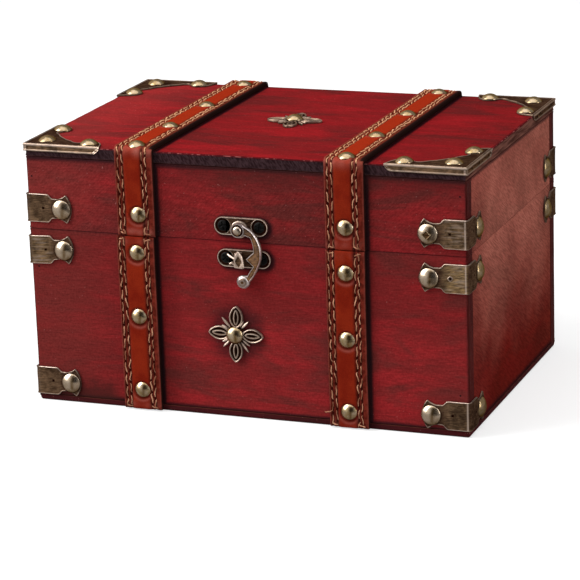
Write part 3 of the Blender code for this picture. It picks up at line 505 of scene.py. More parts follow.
def body_front_stains_and_shadow(s, colour, place, shift):
    """Painted shadow round the rosette, dark paint at the left foot, and lighter and darker bands beside it.
    """
    x, z = rosette_place()
    uneven = s.noise(120, detail=3, shift=shift)
    # Painted shadow round the rosette, uneven at its edge
    distance = s.span(s.minus(place[0], x), s.minus(place[2], z))
    distance = s.total(distance, s.sway(uneven, 7 * MM))
    colour = s.mix(s.ramp(distance, 19 * MM, 10 * MM, 0.0, 0.6), colour, DARK_PAINT_AND_SHADE)
    middle = s.times(s.ramp(place[0], -42 * MM, -15 * MM), s.ramp(place[2], 62 * MM, 42 * MM))
    colour = s.shade(colour, middle, 0.0, 1.0, 1.0, 1.14)
    beside = s.times(s.ramp(place[0], -30 * MM, -42 * MM), s.ramp(place[0], -62 * MM, -58 * MM))
    colour = s.shade(colour, beside, 0.0, 1.0, 1.0, 0.80)
    rise = s.total(place[2], s.sway(uneven, 14 * MM))
    foot = s.times(s.ramp(rise, 17 * MM, 7 * MM), s.ramp(place[0], -66 * MM, -76 * MM), 0.75)
    return s.mix(foot, colour, SMUDGE)


def latch_shadow(s, colour, place, node):
    """Painted shadow round a latch plate."""
    x, z, length = latch_plate_place(node)
    radius = LATCH_PLATE_HEIGHT / 2
    along = s.minus(s.size(s.minus(place[0], x + 0.9 * MM)), length / 2 - radius)
    distance = s.span(s.most(along, 0.0), s.minus(place[2], z - 0.6 * MM))
    return s.mix(s.ramp(distance, radius + 2.6 * MM, radius, 0.0, 0.85), colour, DARK_PAINT_AND_SHADE)


def lid_front_smudge(s, colour, place, shift):
    """Dark brushing under the lid's edge, strongest in the middle and to the right."""
    strokes = s.noise((230, 230, 1500), detail=3, turn=(0, 0.75, 0), shift=shift)
    uneven = s.sway(s.noise((38, 38, 60), detail=3, shift=shift), 18 * MM)
    reach = s.ramp(s.total(place[2], uneven), TOP - 20 * MM, TOP - 8 * MM)
    reach = s.times(reach, s.ramp(place[0], -48 * MM, -18 * MM))
    colour = s.shade(colour, strokes, 0.35, 0.65, 0.88, 1.12)
    colour = s.mix(s.times(reach, s.ramp(strokes, 0.3, 0.7, 0.22, 0.62)), colour, SMUDGE)
    return s.shade(colour, place[0], -40 * MM, -75 * MM, 1.0, 1.16)


def front_wood(part, wall, shift, straps):
    """Wood of a front or back wall, with its end grain, the marks on it and painted shadows."""
    node = f"{part}_{wall}_wall"
    low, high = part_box(node)
    s, colour, place = wood(
        f"wood_{node}", (low, high), 0, shift, borders=FRONT_BORDERS[part], straps=straps
    )
    rings = s.noise((40, 1500, 90), detail=3, shift=shift)
    sideways = s.minus(HALF_X, s.size(place[0]))
    end_grain = s.shade(END_GRAIN, rings, 0.3, 0.7, 0.6, 1.4)
    colour = s.mix(s.ramp(sideways, 0.6 * MM, 0.3 * MM), colour, end_grain)
    if wall == "front":
        colour = brad_marks(s, colour, place)
        if part == "body":
            colour = body_front_stains_and_shadow(s, colour, place, shift)
            colour = latch_shadow(s, colour, place, "catch_plate")
        else:
            colour = latch_shadow(s, colour, place, "hook_plate")
            colour = lid_front_smudge(s, colour, place, shift)
    depth = s.size(s.minus(place[1], low.y if wall == "front" else high.y))
    inner = s.times(s.ramp(depth, SKIN * 0.8, SKIN), s.ramp(sideways, 0.5 * MM, 1.0 * MM))
    s.set(base_color=s.mix(inner, colour, inside_wood(s, 0, shift)))
    return s.material


def side_wood(part, side, shift):
    """Wood of a side wall, with a paler painted sheen that fades towards its foot, and strokes over it."""
    node = f"{part}_{side}_wall"
    low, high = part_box(node)
    s, colour, place = wood(
        f"wood_{node}", (low, high), 1, shift + 8, borders=SIDE_BORDERS[part], hatch=0.06, gloss=0.0
    )
    cloud = s.noise((30, 30, 24), detail=3, shift=shift)
    back = s.total(place[1], s.times(cloud, 0.05))
    forwards = s.ramp(back, 0.0, -55 * MM)
    rise = s.minus(s.total(place[2], s.sway(cloud, 50 * MM)), s.times(forwards, 16 * MM))
    # Painted sheen: pale high up, fading towards the foot and further down at the front
    sheen_and_strokes = s.mix(s.ramp(rise, 14 * MM, 86 * MM), SIDE_RED, SHEEN_TAN)
    sheen_and_strokes = s.mix(s.ramp(back, 0.01, 0.11, 0.0, 0.15), sheen_and_strokes, SIDE_BROWN)
    sheen_and_strokes = s.mix(s.times(forwards, 0.5), sheen_and_strokes, BRUSHED_RED)
    strokes = s.noise((200, 170, 1900), detail=4, roughness=0.6, turn=(0.55, 0, 0), shift=shift)
    bands = s.noise((40, 28, 34), detail=4, turn=(0.4, 0, 0), shift=shift)
    sheen_and_strokes = s.shade(s.shade(sheen_and_strokes, strokes, 0.36, 0.64, 0.70, 1.26), bands, 0.35, 0.65, 0.80, 1.16)
    # The right wall gets more of the painted sheen than the left
    colour = s.mix(0.8 if side == "right" else 0.5, colour, sheen_and_strokes)
    # The body's wall darkens towards its foot; the lid's wall gets a painted shadow under the top board
    if part == "body":
        dark_foot_and_top_shadow = s.ramp(s.minus(place[2], low.z), 3.5 * MM, 0.3 * MM, 0.0, 0.8)
    else:
        dark_foot_and_top_shadow = s.ramp(s.minus(high.z, place[2]), 1.9 * MM, 0.3 * MM, 0.0, 0.7)
    colour = s.mix(dark_foot_and_top_shadow, colour, DARK_PAINT_AND_SHADE)
    inner = s.ramp(s.size(s.minus(place[0], low.x if side == "left" else high.x)), SKIN * 0.8, SKIN)
    s.set(base_color=s.mix(inner, colour, inside_wood(s, 1, shift)))
    return s.material


def top_wood(straps):
    """Wood of the top board, with painted front and back edges and bare ends."""
    shift = 31.0
    low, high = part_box("lid_top_board")
    s, colour, place = wood(
        "wood_lid_top_board", (low, high), 0, shift, TOP_BORDERS, straps, gloss=0.0, streaks=0.35
    )
    colour = s.mix(1.0, colour, TOP_TINT, "MULTIPLY")
    colour = s.shade(colour, place[0], -0.115, -0.035, 1.5, 1.02)
    colour = s.shade(colour, place[0], 0.0, 0.12, 1.0, 0.9)
    below = s.total(s.minus(high.z, place[2]), s.sway(s.noise(160, detail=3), 0.5 * MM))
    strokes = s.noise((1300, 900, 420), detail=4, turn=(0, 0.6, 0))
    paint = s.shade(EDGE_PAINT, strokes, 0.33, 0.67, 0.55, 1.7)
    sideways = s.ramp(s.minus(HALF_X, s.size(place[0])), 0.15 * MM, 0.4 * MM)
    bare_end = s.shade(PLANK_EDGE, s.noise((300, 70, 900), detail=3), 0.3, 0.7, 0.35, 1.35)
    paint = s.mix(sideways, bare_end, paint)
    colour = s.mix(s.ramp(below, 0.35 * MM, 0.75 * MM, 0.0, 0.93), colour, paint)
    s.set(base_color=s.mix(s.ramp(place[2], low.z, low.z + 0.3 * MM), inside_wood(s, 0, shift), colour))
    return s.material


def base_wood():
    shift = 43.0
    low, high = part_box("base_board")
    s, colour, place = wood("wood_base_board", (low, high), 0, shift, borders=BASE_BORDERS)
    s.set(base_color=s.mix(s.ramp(place[2], high.z - 0.3 * MM, high.z), colour, inside_wood(s, 0, shift)))
    return s.material


def leather():
    s = Shader("tan_leather")
    mottle = s.noise(90, detail=4, roughness=0.6)
    grain = s.noise(1900, detail=2)
    wear = s.noise(420, detail=3)
    centre = s.mix(s.ramp(mottle, 0.35, 0.65), (0.188, 0.0130, 0.0052), (0.245, 0.0210, 0.0070))
    edge = s.mix(s.ramp(wear, 0.35, 0.65), (0.085, 0.0110, 0.0065), (0.170, 0.0230, 0.0140))
    # Painted light: the leather is lighter on the top, where more light falls
    lit_top = s.ramp(s.split(s.place)[2], TOP - 2 * MM, TOP + 2 * MM)
    centre = s.mix(lit_top, centre, (0.306, 0.0235, 0.0068))
    edge = s.mix(s.times(lit_top, 0.6), edge, (0.250, 0.048, 0.0230))
    colour = s.mix(s.attribute("border"), centre, edge)
    colour = s.mix(s.times(s.attribute("pressed"), 0.6), colour, (0.34, 0.092, 0.070))
    # The groove value darkens the stitch channels and also carries the painted shadow round the tacks
    colour = s.mix(s.times(s.attribute("groove"), 0.85), colour, (0.030, 0.0060, 0.0045))
    colour = s.mix(s.attribute("cut"), colour, (0.018, 0.0075, 0.0065))
    colour = s.shade(colour, grain, 0.25, 0.75, 0.86, 1.12)
    s.set(base_color=colour, roughness=s.ramp(wear, 0.3, 0.7, 0.34, 0.48), specular_ior_level=0.0)
    s.bump(s.total(s.times(grain, 0.35), wear), 0.12 * MM, 0.7)
    return s.material


def thread():
    s = Shader("waxed_thread")
    twist = s.noise(2600, detail=2)
    tone = s.noise(150, detail=2)
    colour = s.mix(s.ramp(tone, 0.35, 0.65), (0.25, 0.080, 0.037), (0.66, 0.32, 0.185))
    # Painted light: the thread is lighter on the top, where more light falls
    lit_top = s.ramp(s.split(s.place)[2], TOP - 2 * MM, TOP + 2 * MM, 0.0, 0.75)
    colour = s.mix(lit_top, colour, (0.88, 0.46, 0.235))
    s.set(base_color=s.shade(colour, twist, 0.3, 0.7, 0.75, 1.15), roughness=0.6, specular_ior_level=0.2)
    s.bump(twist, 0.1 * MM, 0.9)
    return s.material


def bronze(name, dark, mid, bright):
    """Patinated bronze, rubbed bright along its raised rims."""
    s = Shader(name)
    rim, hollow, gilt = (s.attribute(layer) for layer in ("rim", "hollow", "gilt"))
    cloud = s.noise(330, detail=4, roughness=0.65, distortion=0.5)
    scratch = s.noise((260, 260, 2300), detail=4, roughness=0.7, turn=(0.12, 0.1, 0.3))
    broad = s.noise(75, detail=2)
    speck = s.noise(2400, detail=2)
    colour = s.mix(s.ramp(s.total(s.times(cloud, 0.6), s.times(broad, 0.5)), 0.40, 0.66), dark, mid)
    colour = s.mix(s.times(gilt, s.ramp(scratch, 0.36, 0.62, 0.25, 1.0)), colour, (0.42, 0.27, 0.125))
    colour = s.shade(colour, scratch, 0.34, 0.68, 0.55, 1.6)
    rubbed = s.times(rim, s.ramp(s.total(cloud, s.times(speck, 0.3)), 0.42, 0.66, 0.6, 1.0))
    colour = s.mix(rubbed, colour, bright)
    colour = s.mix(hollow, colour, (0.0190, 0.0052, 0.0026))
    s.set(base_color=colour, metallic=s.ramp(hollow, 0.0, 0.8, 0.92, 0.03))
    s.set(specular_ior_level=0.0, specular_tint=(0.17, 0.092, 0.052))
    s.set(roughness=s.ramp(s.total(speck, cloud), 0.7, 1.3, 0.32, 0.48))
    s.bump(s.total(s.times(scratch, 0.5), speck), 0.09 * MM, 0.7)
    return s.material


def tack_brass():
    s = Shader("tack_brass")
    cloud = s.noise(420, detail=3, roughness=0.6)
    smear = s.noise((900, 900, 180), detail=2)
    colour = s.mix(s.ramp(cloud, 0.38, 0.66), (0.62, 0.49, 0.335), (0.47, 0.335, 0.165))
    colour = s.mix(s.attribute("silver"), colour, (0.66, 0.53, 0.43))
    # Painted dark reflection, where the low attribute is high
    dark_reflection = s.times(s.attribute("low"), s.ramp(smear, 0.3, 0.7, 0.75, 1.0))
    colour = s.mix(dark_reflection, colour, (0.205, 0.118, 0.042))
    # Painted contact shadow along the tack's turned-down edge and foot
    colour = s.mix(s.times(s.attribute("rim"), 0.8), colour, (0.12, 0.075, 0.04))
    colour = s.mix(s.attribute("hollow"), colour, (0.15, 0.080, 0.034))
    s.set(base_color=colour, metallic=0.96, roughness=s.ramp(cloud, 0.3, 0.7, 0.19, 0.27))
    s.set(specular_tint=(0.46, 0.32, 0.17))
    s.bump(cloud, 0.08 * MM, 0.35)
    return s.material


def black_steel():
    s = Shader("black_screw")
    cloud = s.noise(900, detail=3)
    colour = s.mix(s.ramp(cloud, 0.4, 0.65), (0.006, 0.006, 0.0065), (0.018, 0.017, 0.016))
    colour = s.mix(s.times(s.attribute("rim"), 0.4), colour, (0.05, 0.046, 0.043))
    s.set(base_color=colour, metallic=0.8, roughness=s.ramp(cloud, 0.3, 0.7, 0.4, 0.55))
    s.set(specular_ior_level=0.12)
    s.bump(cloud, 0.06 * MM, 0.6)
    return s.material


# Mesh helpers


class Shape:
    """Vertices, faces and painted values of a piece, gathered from several closed solids."""

    def __init__(self, *layers):
        self.verts = []
        self.faces = []
        self.layers = {name: [] for name in layers}

    def add(self, verts, faces, **values):
        first = len(self.verts)
        self.verts += [tuple(vert) for vert in verts]
        self.faces += [tuple(first + index for index in face) for face in faces]
        for name, layer in self.layers.items():
            given = values.get(name, 0.0)
            layer += [given] * len(verts) if isinstance(given, (int, float)) else list(given)

    def add_rows(self, rows, faces, *layers):
        """Adds a solid from rows that hold a vertex and its value in each of the layers."""
        verts, *columns = zip(*rows)
        self.add(verts, faces, **dict(zip(layers, columns)))

    def piece(self, name, material, body, nodes=(), slot=None, sharp=38):
        data = bpy.data.meshes.new(name)
        data.from_pydata(self.verts, [], self.faces)
        data.shade_smooth()
        if sharp:
            data.set_sharp_from_angle(angle=math.radians(sharp))
        for layer, values in self.layers.items():
            data.attributes.new(layer, "FLOAT", "POINT").data.foreach_set("value", values)
        data.materials.append(material)
        obj = bpy.data.objects.new(name, data)
        bpy.context.scene.collection.objects.link(obj)
        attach(obj, body)
        if nodes:
            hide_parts(*nodes)
        return obj


def ring_faces(rings, count):
    """Quads between rings of vertices that follow each other in one list."""
    faces = []
    for ring in range(rings - 1):
        a, b = ring * count, (ring + 1) * count
        for i in range(count):
            j = (i + 1) % count
            faces.append((a + i, a + j, b + j, b + i))
    return faces


def capped_faces(rings, count):
    """The quads between rings, with a cap on the first ring and one on the last."""
    caps = [tuple(reversed(range(count))), tuple(range((rings - 1) * count, rings * count))]
    return ring_faces(rings, count) + caps


def flipped(faces):
    return [tuple(reversed(face)) for face in faces]


def circle(sides):
    """The cosine and sine of each corner of a regular polygon."""
    angles = [2 * math.pi * i / sides for i in range(sides)]
    return [(math.cos(angle), math.sin(angle)) for angle in angles]


def clamp(value, low=0.0, high=1.0):
    return min(high, max(low, value))


def bell(distance, width):
    return math.exp(-((distance / width) ** 2))


def offset(outline, distance):
    """The outline moved inwards, for one that runs anticlockwise."""
    moved = []
    count = len(outline)
    for i in range(count):
        before, here, after = (Vector(outline[(i + k) % count]) for k in (-1, 0, 1))
        first = (here - before).normalized()
        second = (after - here).normalized()
        normal = Vector((-first.y - second.y, first.x + second.x))
        if normal.length < 1e-6:
            normal = Vector((-first.y, first.x))
        normal.normalize()
        share = max(0.45, normal.dot(Vector((-first.y, first.x))))
        moved.append(tuple(here + normal * (distance / share)))
    return moved


def plate(shape, outline, levels, matrix, floor=0.0):
    """A plate whose outline steps in and up through levels of (inset, height, rim, hollow)."""
    rows = [(matrix @ Vector((x, y, floor)), *levels[0][2:]) for x, y in outline]
    for inset, height, rim, hollow in levels:
        rows += [(matrix @ Vector((x, y, height)), rim, hollow) for x, y in offset(outline, inset)]
    shape.add_rows(rows, capped_faces(len(levels) + 1, len(outline)), "rim", "hollow")


def turned(shape, profile, sides, matrix, rim=(), hollow=()):
    """A turned solid from a profile of (radius, height), from its top on the axis to its foot."""
    rows = []
    for (radius, height), bright, dark in zip_longest(profile, rim, hollow, fillvalue=0.0):
        rows += [(matrix @ Vector((radius * x, radius * y, height)), bright, dark) for x, y in circle(sides)]
    shape.add_rows(rows, flipped(capped_faces(len(profile), sides)), "rim", "hollow")


def tube(shape, points, radius, sides=7, **values):
    """A round thread along points, with closed ends."""
    verts = []
    for index, point in enumerate(points):
        before = points[max(index - 1, 0)]
        after = points[min(index + 1, len(points) - 1)]
        heading = (after - before).normalized()
        aside = heading.orthogonal() if index == 0 else aside - heading * aside.dot(heading)
        aside = aside.normalized()
        other = heading.cross(aside)
        slim = 0.7 if index in (0, len(points) - 1) else 1.0
        verts += [point + (aside * x + other * y) * radius * slim for x, y in circle(sides)]
    shape.add(verts, capped_faces(len(points), sides), **values)


def arc(centre, radius, start, end, steps):
    points = []
    for i in range(steps + 1):
        angle = math.radians(start + (end - start) * i / steps)
        points.append((centre[0] + radius * math.cos(angle), centre[1] + radius * math.sin(angle)))
    return points


def smooth_curve(points, steps):
    """A round curve through points."""
    padded = [points[0], *points, points[-1]]
    result = []
    for a, b, c, d in zip(padded, padded[1:], padded[2:], padded[3:]):
        for i in range(steps):
            t = i / steps
            point = []
            for p, q, r, w in zip(a, b, c, d):
                square, cube = 2 * p - 5 * q + 4 * r - w, 3 * q - p - 3 * r + w
                point.append(0.5 * (2 * q + (r - p) * t + square * t**2 + cube * t**3))
            result.append(tuple(point))
    result.append(tuple(points[-1]))
    return result


FACES = {
    "front": (Vector((1, 0, 0)), Vector((0, 0, 1)), Vector((0, -1, 0))),
    "back": (Vector((-1, 0, 0)), Vector((0, 0, 1)), Vector((0, 1, 0))),
    "right": (Vector((0, 1, 0)), Vector((0, 0, 1)), Vector((1, 0, 0))),
    "left": (Vector((0, -1, 0)), Vector((0, 0, 1)), Vector((-1, 0, 0))),
    "top": (Vector((1, 0, 0)), Vector((0, 1, 0)), Vector((0, 0, 1))),
}


def on_face(face, x, y, z):
    along, up, out = FACES[face]
    matrix = Matrix((along, up, out)).transposed().to_4x4()
    matrix.translation = (x, y, z)
    return matrix


def on_front(x, z):
    return on_face("front", x, -HALF_Y, z)


def on_back(x, z):
    return on_face("back", x, HALF_Y, z)


def on_side(side, y, z):
    return on_face("right" if side > 0 else "left", side * HALF_X, y, z)


def on_top(x, y):
    return on_face("top", x, y, TOP)


def raised(matrix, height):
    return matrix @ Matrix.Translation((0, 0, height))


# Boards


def grid_lines(low, high):
    margins = [value for value in BOARD_MARGINS if value < (high - low) / 2.2]
    inner = high - low - 2 * margins[-1]
    steps = max(1, round(inner / GRID_STEP))
    middle = [low + margins[-1] + inner * i / steps for i in range(1, steps)]
    return [low + value for value in margins] + middle + [high - value for value in reversed(margins)]


def edge_radius(point, low, high):
    """How round the board is worn at a point."""
    wear = 0.5 + noise.noise(point * 140) * 0.6 + noise.noise(point * 480) * 0.35
    radius = EDGE_ROUND * (0.55 + max(0.0, wear))
    corner = max(0.0, 1 - math.hypot(HALF_X - abs(point.x), HALF_Y - abs(point.y)) / WORN_REACH)
    foot = max(0.0, 1 - point.z / WORN_REACH)
    radius += (CORNER_ROUND - EDGE_ROUND) * corner + (FOOT_ROUND - EDGE_ROUND) * foot
    for joint in JOINTS:
        if abs(point.z - joint) < 1 * MM:
            radius = min(radius, JOINT_ROUND)
    thinnest = min(high[i] - low[i] for i in range(3))
    return min(radius, thinnest * 0.45)


def board(node, material, body):
    low, high = (corner.copy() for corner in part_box(node))
    if abs(low.z - SEAM) < 1 * MM:
        low.z = SEAM + SEAM_CRACK / 2
    if abs(high.z - SEAM) < 1 * MM:
        high.z = SEAM - SEAM_CRACK / 2
    lines = [grid_lines(low[i], high[i]) for i in range(3)]
    last = [len(line) - 1 for line in lines]
    index = {}
    verts = []

    def vertex(key):
        if key not in index:
            point = Vector([lines[i][key[i]] for i in range(3)])
            radius = edge_radius(point, low, high)
            core = Vector([min(max(point[i], low[i] + radius), high[i] - radius) for i in range(3)])
            out = point - core
            index[key] = len(verts)
            verts.append(core + out.normalized() * radius if out.length > 0 else point)
        return index[key]

    faces = []
    for axis in range(3):
        u, v = (axis + 1) % 3, (axis + 2) % 3
        for end in (0, last[axis]):
            for i in range(last[u]):
                for j in range(last[v]):
                    corners = []
                    for du, dv in ((0, 0), (1, 0), (1, 1), (0, 1)):
                        key = [0, 0, 0]
                        key[axis], key[u], key[v] = end, i + du, j + dv
                        corners.append(vertex(tuple(key)))
                    faces.append(tuple(corners if end else reversed(corners)))
    shape = Shape()
    shape.add(verts, faces)
    shape.piece(f"board_{node}", material, body, (node,), "wood", sharp=None)


def strap_edges(strap):
    boxes = [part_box(f"{strap}_{side}") for side in ("left", "right")]
    return [(low.x, high.x) for low, high in boxes]


def make_boards():
    lid_straps, body_straps = strap_edges("lid_strap"), strap_edges("body_front_strap")
    for part, straps, shift in (("body", body_straps, 5.3), ("lid", lid_straps, 17.0)):
        for wall, wall_shift in (("front", shift), ("back", shift + 5)):
            board(f"{part}_{wall}_wall", front_wood(part, wall, wall_shift, straps), part)
        for side in ("left", "right"):
            board(f"{part}_{side}_wall", side_wood(part, side, shift), part)
    board("lid_top_board", top_wood(lid_straps), "lid")
    board("base_board", base_wood(), "body")


def latch_plate_place(node):
    """The x and z of a latch plate's middle, and its length."""
    low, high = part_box(node)
    middle = (low.z + high.z) / 2 if node == "catch_plate" else SEAM + LATCH_EDGE + LATCH_PLATE_HEIGHT / 2
    return (low.x + high.x) / 2, middle, high.x - low.x


def rosette_place():
    low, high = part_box("front_rosette_tack")
    return (low.x + high.x) / 2, (low.z + high.z) / 2


# Straps


def strap_path(kind):
    """Where a strap's outer face runs: a list of (y, z, outward y, outward z, length so far)."""
    front = -HALF_Y - GAP - STRAP_THICKNESS
    top = TOP + GAP + STRAP_THICKNESS
    if kind == "lid":
        fold_y, fold_z = front + STRAP_FOLD, top - STRAP_FOLD
        legs = [
            ("line", (front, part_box("lid_strap_left")[0].z), (front, fold_z)),
            ("bend", (fold_y, fold_z), (180, 90)),
            ("line", (fold_y, top), (-fold_y, top)),
            ("bend", (-fold_y, fold_z), (90, 0)),
            ("line", (-front, fold_z), (-front, SEAM + STRAP_BACK_CLEAR)),
        ]
    else:
        low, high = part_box(f"body_{kind}_strap_left")
        y, start, end = (front, low.z, high.z) if kind == "front" else (-front, high.z, low.z)
        legs = [("line", (y, start), (y, end))]
    stations = []
    travelled = 0.0
    for leg, place, (first, last) in legs:
        place = Vector(place)
        if leg == "line":
            run = Vector((first, last)) - place
            length, heading = run.length, run.normalized()
            normal = Vector((-heading.y, heading.x))
            steps = max(1, round(length / STRAP_STEP))
            spots = [(place + heading * (length * i / steps), normal) for i in range(steps)]
        else:
            length = STRAP_FOLD * math.radians(abs(last - first))
            normals = [Vector(point) for point in arc((0, 0), 1, first, last, BEND_STEPS)[:-1]]
            spots = [(place + normal * STRAP_FOLD, normal) for normal in normals]
        for i, (spot, normal) in enumerate(spots):
            stations.append((*spot, *normal, travelled + length * i / len(spots)))
        travelled += length
    end = Vector(legs[-1][2])
    stations.append((end.x, end.y, *stations[-1][2:4], travelled))
    return stations


def strap_section(half, rows):
    """Places across a strap, finer at its grooves and edges."""
    places = {-half, half}
    for inset in (0.1, 0.25, 0.45, 0.7, 1.1):
        places |= {inset * MM - half, half - inset * MM}
    for row in rows:
        places |= {row + quarter / 4 * GROOVE_WIDTH for quarter in range(-4, 5)}
    for share in (-0.5, -0.42, -0.34, -0.26, -0.18, -0.1, 0, 0.08, 0.16, 0.24, 0.32):
        places.add(share * half)
    ordered = sorted(places)
    kept = [ordered[0]]
    for value in ordered[1:]:
        if value - kept[-1] > 0.12 * MM:
            kept.append(value)
    kept[-1] = half
    return kept


def stitch_phase(row_index, seed):
    return STITCH_PHASE_SHARES[row_index] * STITCH_PITCH + seed * 1.7 * MM


class Strap:
    """A leather strap's surface, from which its mesh and its stitches are made.

    A place on it is (u, travelled): across from its middle line, and along it from its first end.
    Each of tacks is (travelled, u).
    """

    def __init__(self, kind, node, tacks, seed):
        low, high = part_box(node)
        self.kind, self.tacks, self.seed = kind, tacks, seed
        self.centre = (low.x + high.x) / 2
        self.half = (high.x - low.x) / 2
        self.rows = LID_ROWS if kind == "lid" else BODY_ROWS
        self.stations = strap_path(kind)
        self.length = self.stations[-1][4]
        self.down = 1 if kind in ("lid", "front") else -1
        self.fold = TOP + GAP + STRAP_THICKNESS - 0.7 * STRAP_FOLD - low.z

    def middle(self, travelled):
        """The strap's middle line, which wanders a little to the sides."""
        return self.centre + 0.16 * MM * noise.noise(Vector((travelled * 45, self.seed * 3.1, 0)))

    def stitching(self, u, travelled):
        """How deep the stitches press, and how dark their grooves are."""
        depth, dark = 0.0, 0.0
        for index, row in enumerate(self.rows):
            lateral = abs(u - row)
            if lateral < 1.6 * GROOVE_WIDTH:
                phase = ((travelled - stitch_phase(index, self.seed)) / STITCH_PITCH) % 1.0
                hole = bell(min(phase, 1 - phase) * STITCH_PITCH, 0.8 * MM)
                channel = bell(lateral, GROOVE_WIDTH * 0.75)
                depth += GROOVE_DEPTH * channel * (0.75 + 0.9 * hole)
                dark = max(dark, channel * (0.75 + 0.4 * hole))
        return depth, dark

    def tack_marks(self, u, travelled):
        """How far the tacks press here, the painted shadow round them, and how rubbed below them."""
        push, dark, mark = 0.0, 0.0, 0.0
        for tack, aside in self.tacks:
            distance = math.hypot(u - aside, travelled - tack)
            if distance < 14 * MM:
                push = max(push, bell(distance, 5.6 * MM))
                # Painted shadow in a ring round each tack
                dark = max(dark, 0.9 * bell(distance - TACK_RADIUS, 0.5 * MM))
                below = max(0.0, (tack - travelled) * self.down / max(distance, 1e-6))
                mark = max(mark, below * bell(distance - TACK_RADIUS - 1.2 * MM, 0.7 * MM))
        return push, dark, mark

    def look(self, u, travelled):
        """The depth below the outer face, and the values of border, groove and pressed."""
        edge = self.half - abs(u)
        depth = 0.0
        if edge < STRAP_EDGE_ROUND:
            rounded = math.sqrt(max(0.0, STRAP_EDGE_ROUND**2 - (STRAP_EDGE_ROUND - edge) ** 2))
            depth += STRAP_EDGE_ROUND - rounded
        past = max(self.rows[1] + 1.1 * MM - u, u - (self.rows[2] - 0.9 * MM))
        border = clamp(past / (0.7 * MM) + 0.5)
        depth += BORDER_SINK * border
        groove_depth, dark = self.stitching(u, travelled)
        push, tack_shadow, mark = self.tack_marks(u, travelled)
        depth += groove_depth + 0.55 * MM * push
        depth += 0.05 * MM * noise.noise(Vector((u * 260, travelled * 130, self.seed)))
        ends = min(travelled, self.length - travelled)
        if self.kind != "lid" or ends < self.half:
            depth += 0.35 * MM * bell(ends, 0.5 * MM)
        scuff = 0.5 + noise.noise(Vector((u * 300, self.seed, ends * 200)))
        scuff *= bell(ends - 2.5 * MM, 2.0 * MM)
        mark = max(mark, scuff * (1.0 if self.kind == "lid" else 0.4))
        mark = max(mark, 0.55 * bell(edge - 0.4 * MM, 0.25 * MM))
        if self.kind == "lid":
            to_fold = min(abs(travelled - self.fold), abs(self.length - travelled - self.fold))
            rub = 0.9 + noise.noise(Vector((u * 260, self.seed, travelled * 90)))
            mark = max(mark, bell(to_fold, 2.6 * MM) * rub)
        return depth, border, min(1.0, max(dark, tack_shadow)), mark

    def mesh(self):
        across = strap_section(self.half, self.rows)
        inset = self.half - 0.1 * MM
        rows = []
        for y, z, ny, nz, travelled in self.stations:
            middle = self.middle(travelled)
            for u in across:
                depth, *paint = self.look(u, travelled)
                blackened = BLACKENED_EDGE if nz > 0.7 and u > 0 else 0.05 * MM
                cut = 1.0 if self.half - abs(u) < blackened else 0.0
                rows.append(((middle + u, y - ny * depth, z - nz * depth), *paint, cut))
            for u, share in ((self.half, 0.9), (inset, 1.0), (-inset, 1.0), (-self.half, 0.9)):
                depth = STRAP_THICKNESS * share
                rows.append(((middle + u, y - ny * depth, z - nz * depth), 1.0, 0.0, 0.0, 1.0))
        shape = Shape("border", "groove", "pressed", "cut")
        shape.add_rows(rows, capped_faces(len(self.stations), len(across) + 4), *shape.layers)
        return shape

    def spot(self, u, travelled, lift):
        """A point over the strap's surface."""
        travelled = clamp(travelled, 0.0, self.length)
        index = min(range(len(self.stations) - 1), key=lambda i: abs(self.stations[i][4] - travelled))
        y, z, ny, nz, at = self.stations[index]
        after = self.stations[index + 1]
        share = clamp((travelled - at) / max(after[4] - at, 1e-9), -1.0, 1.0)
        y += (after[0] - y) * share
        z += (after[1] - z) * share
        out = lift - self.look(u, travelled)[0]
        return Vector((self.middle(travelled) + u, y + ny * out, z + nz * out))

    def near_tack(self, row, place):
        return abs(row) < 5 * MM and any(abs(place - tack) < 4 * MM for tack, _ in self.tacks)

    def stitches(self, shape):
        for index, row in enumerate(self.rows):
            start = stitch_phase(index, self.seed) % STITCH_PITCH
            start += (STITCH_PITCH - STITCH_LENGTH) / 2 - STITCH_PITCH
            while start < self.length:
                begin = max(start, STITCH_END)
                end = min(start + STITCH_LENGTH * random.uniform(0.93, 1.06), self.length - STITCH_END)
                start += STITCH_PITCH
                lean = random.uniform(-0.5, 0.5) * MM
                if end - begin < SHORTEST_STITCH or self.near_tack(row, (begin + end) / 2):
                    continue
                points = []
                for i in range(9):
                    share = i / 8
                    rise = math.sin(math.pi * share) ** 0.45 if 0 < share < 1 else 0.0
                    sway = lean * (share - 0.5) * 2
                    sway += 0.18 * MM * math.sin(math.pi * 2 * share + self.seed + start * 900)
                    if share in (0.0, 1.0):
                        sway += math.copysign(0.25 * MM, row) * (1 if share else -1)
                    lift = STITCH_RADIUS * (1.75 * rise - 0.6)
                    points.append(self.spot(row + sway, begin + (end - begin) * share, lift))
                tube(shape, points, STITCH_RADIUS * random.uniform(0.7, 1.15))

    def end_stitches(self, shape):
        """The threads that run across between two rows, at both ends."""
        a, b, c, d = self.rows
        for place, inwards in ((0.0, 1), (self.length, -1)):
            for near, far in ((a - 0.3 * MM, b + 0.4 * MM), (c - 0.3 * MM, d + 1.4 * MM)):
                sag = random.uniform(0.5, 1.3) * MM
                points = []
                for t in [k / 6 for k in range(7)]:
                    along = place + inwards * (1.1 * MM + sag * (1 - t) ** 2)
                    points.append(self.spot(near + (far - near) * t, along, STITCH_RADIUS * 0.7))
                tube(shape, points, STITCH_RADIUS)


def make_strap(name, kind, node, tacks, seed, material, threads):
    body = "lid" if kind == "lid" else "body"
    strap = Strap(kind, node, tacks, seed)
    strap.mesh().piece(name, material, body, (node,), "leather", sharp=None)
    strap.stitches(threads[body])
    strap.end_stitches(threads[body])


# Tacks and screws

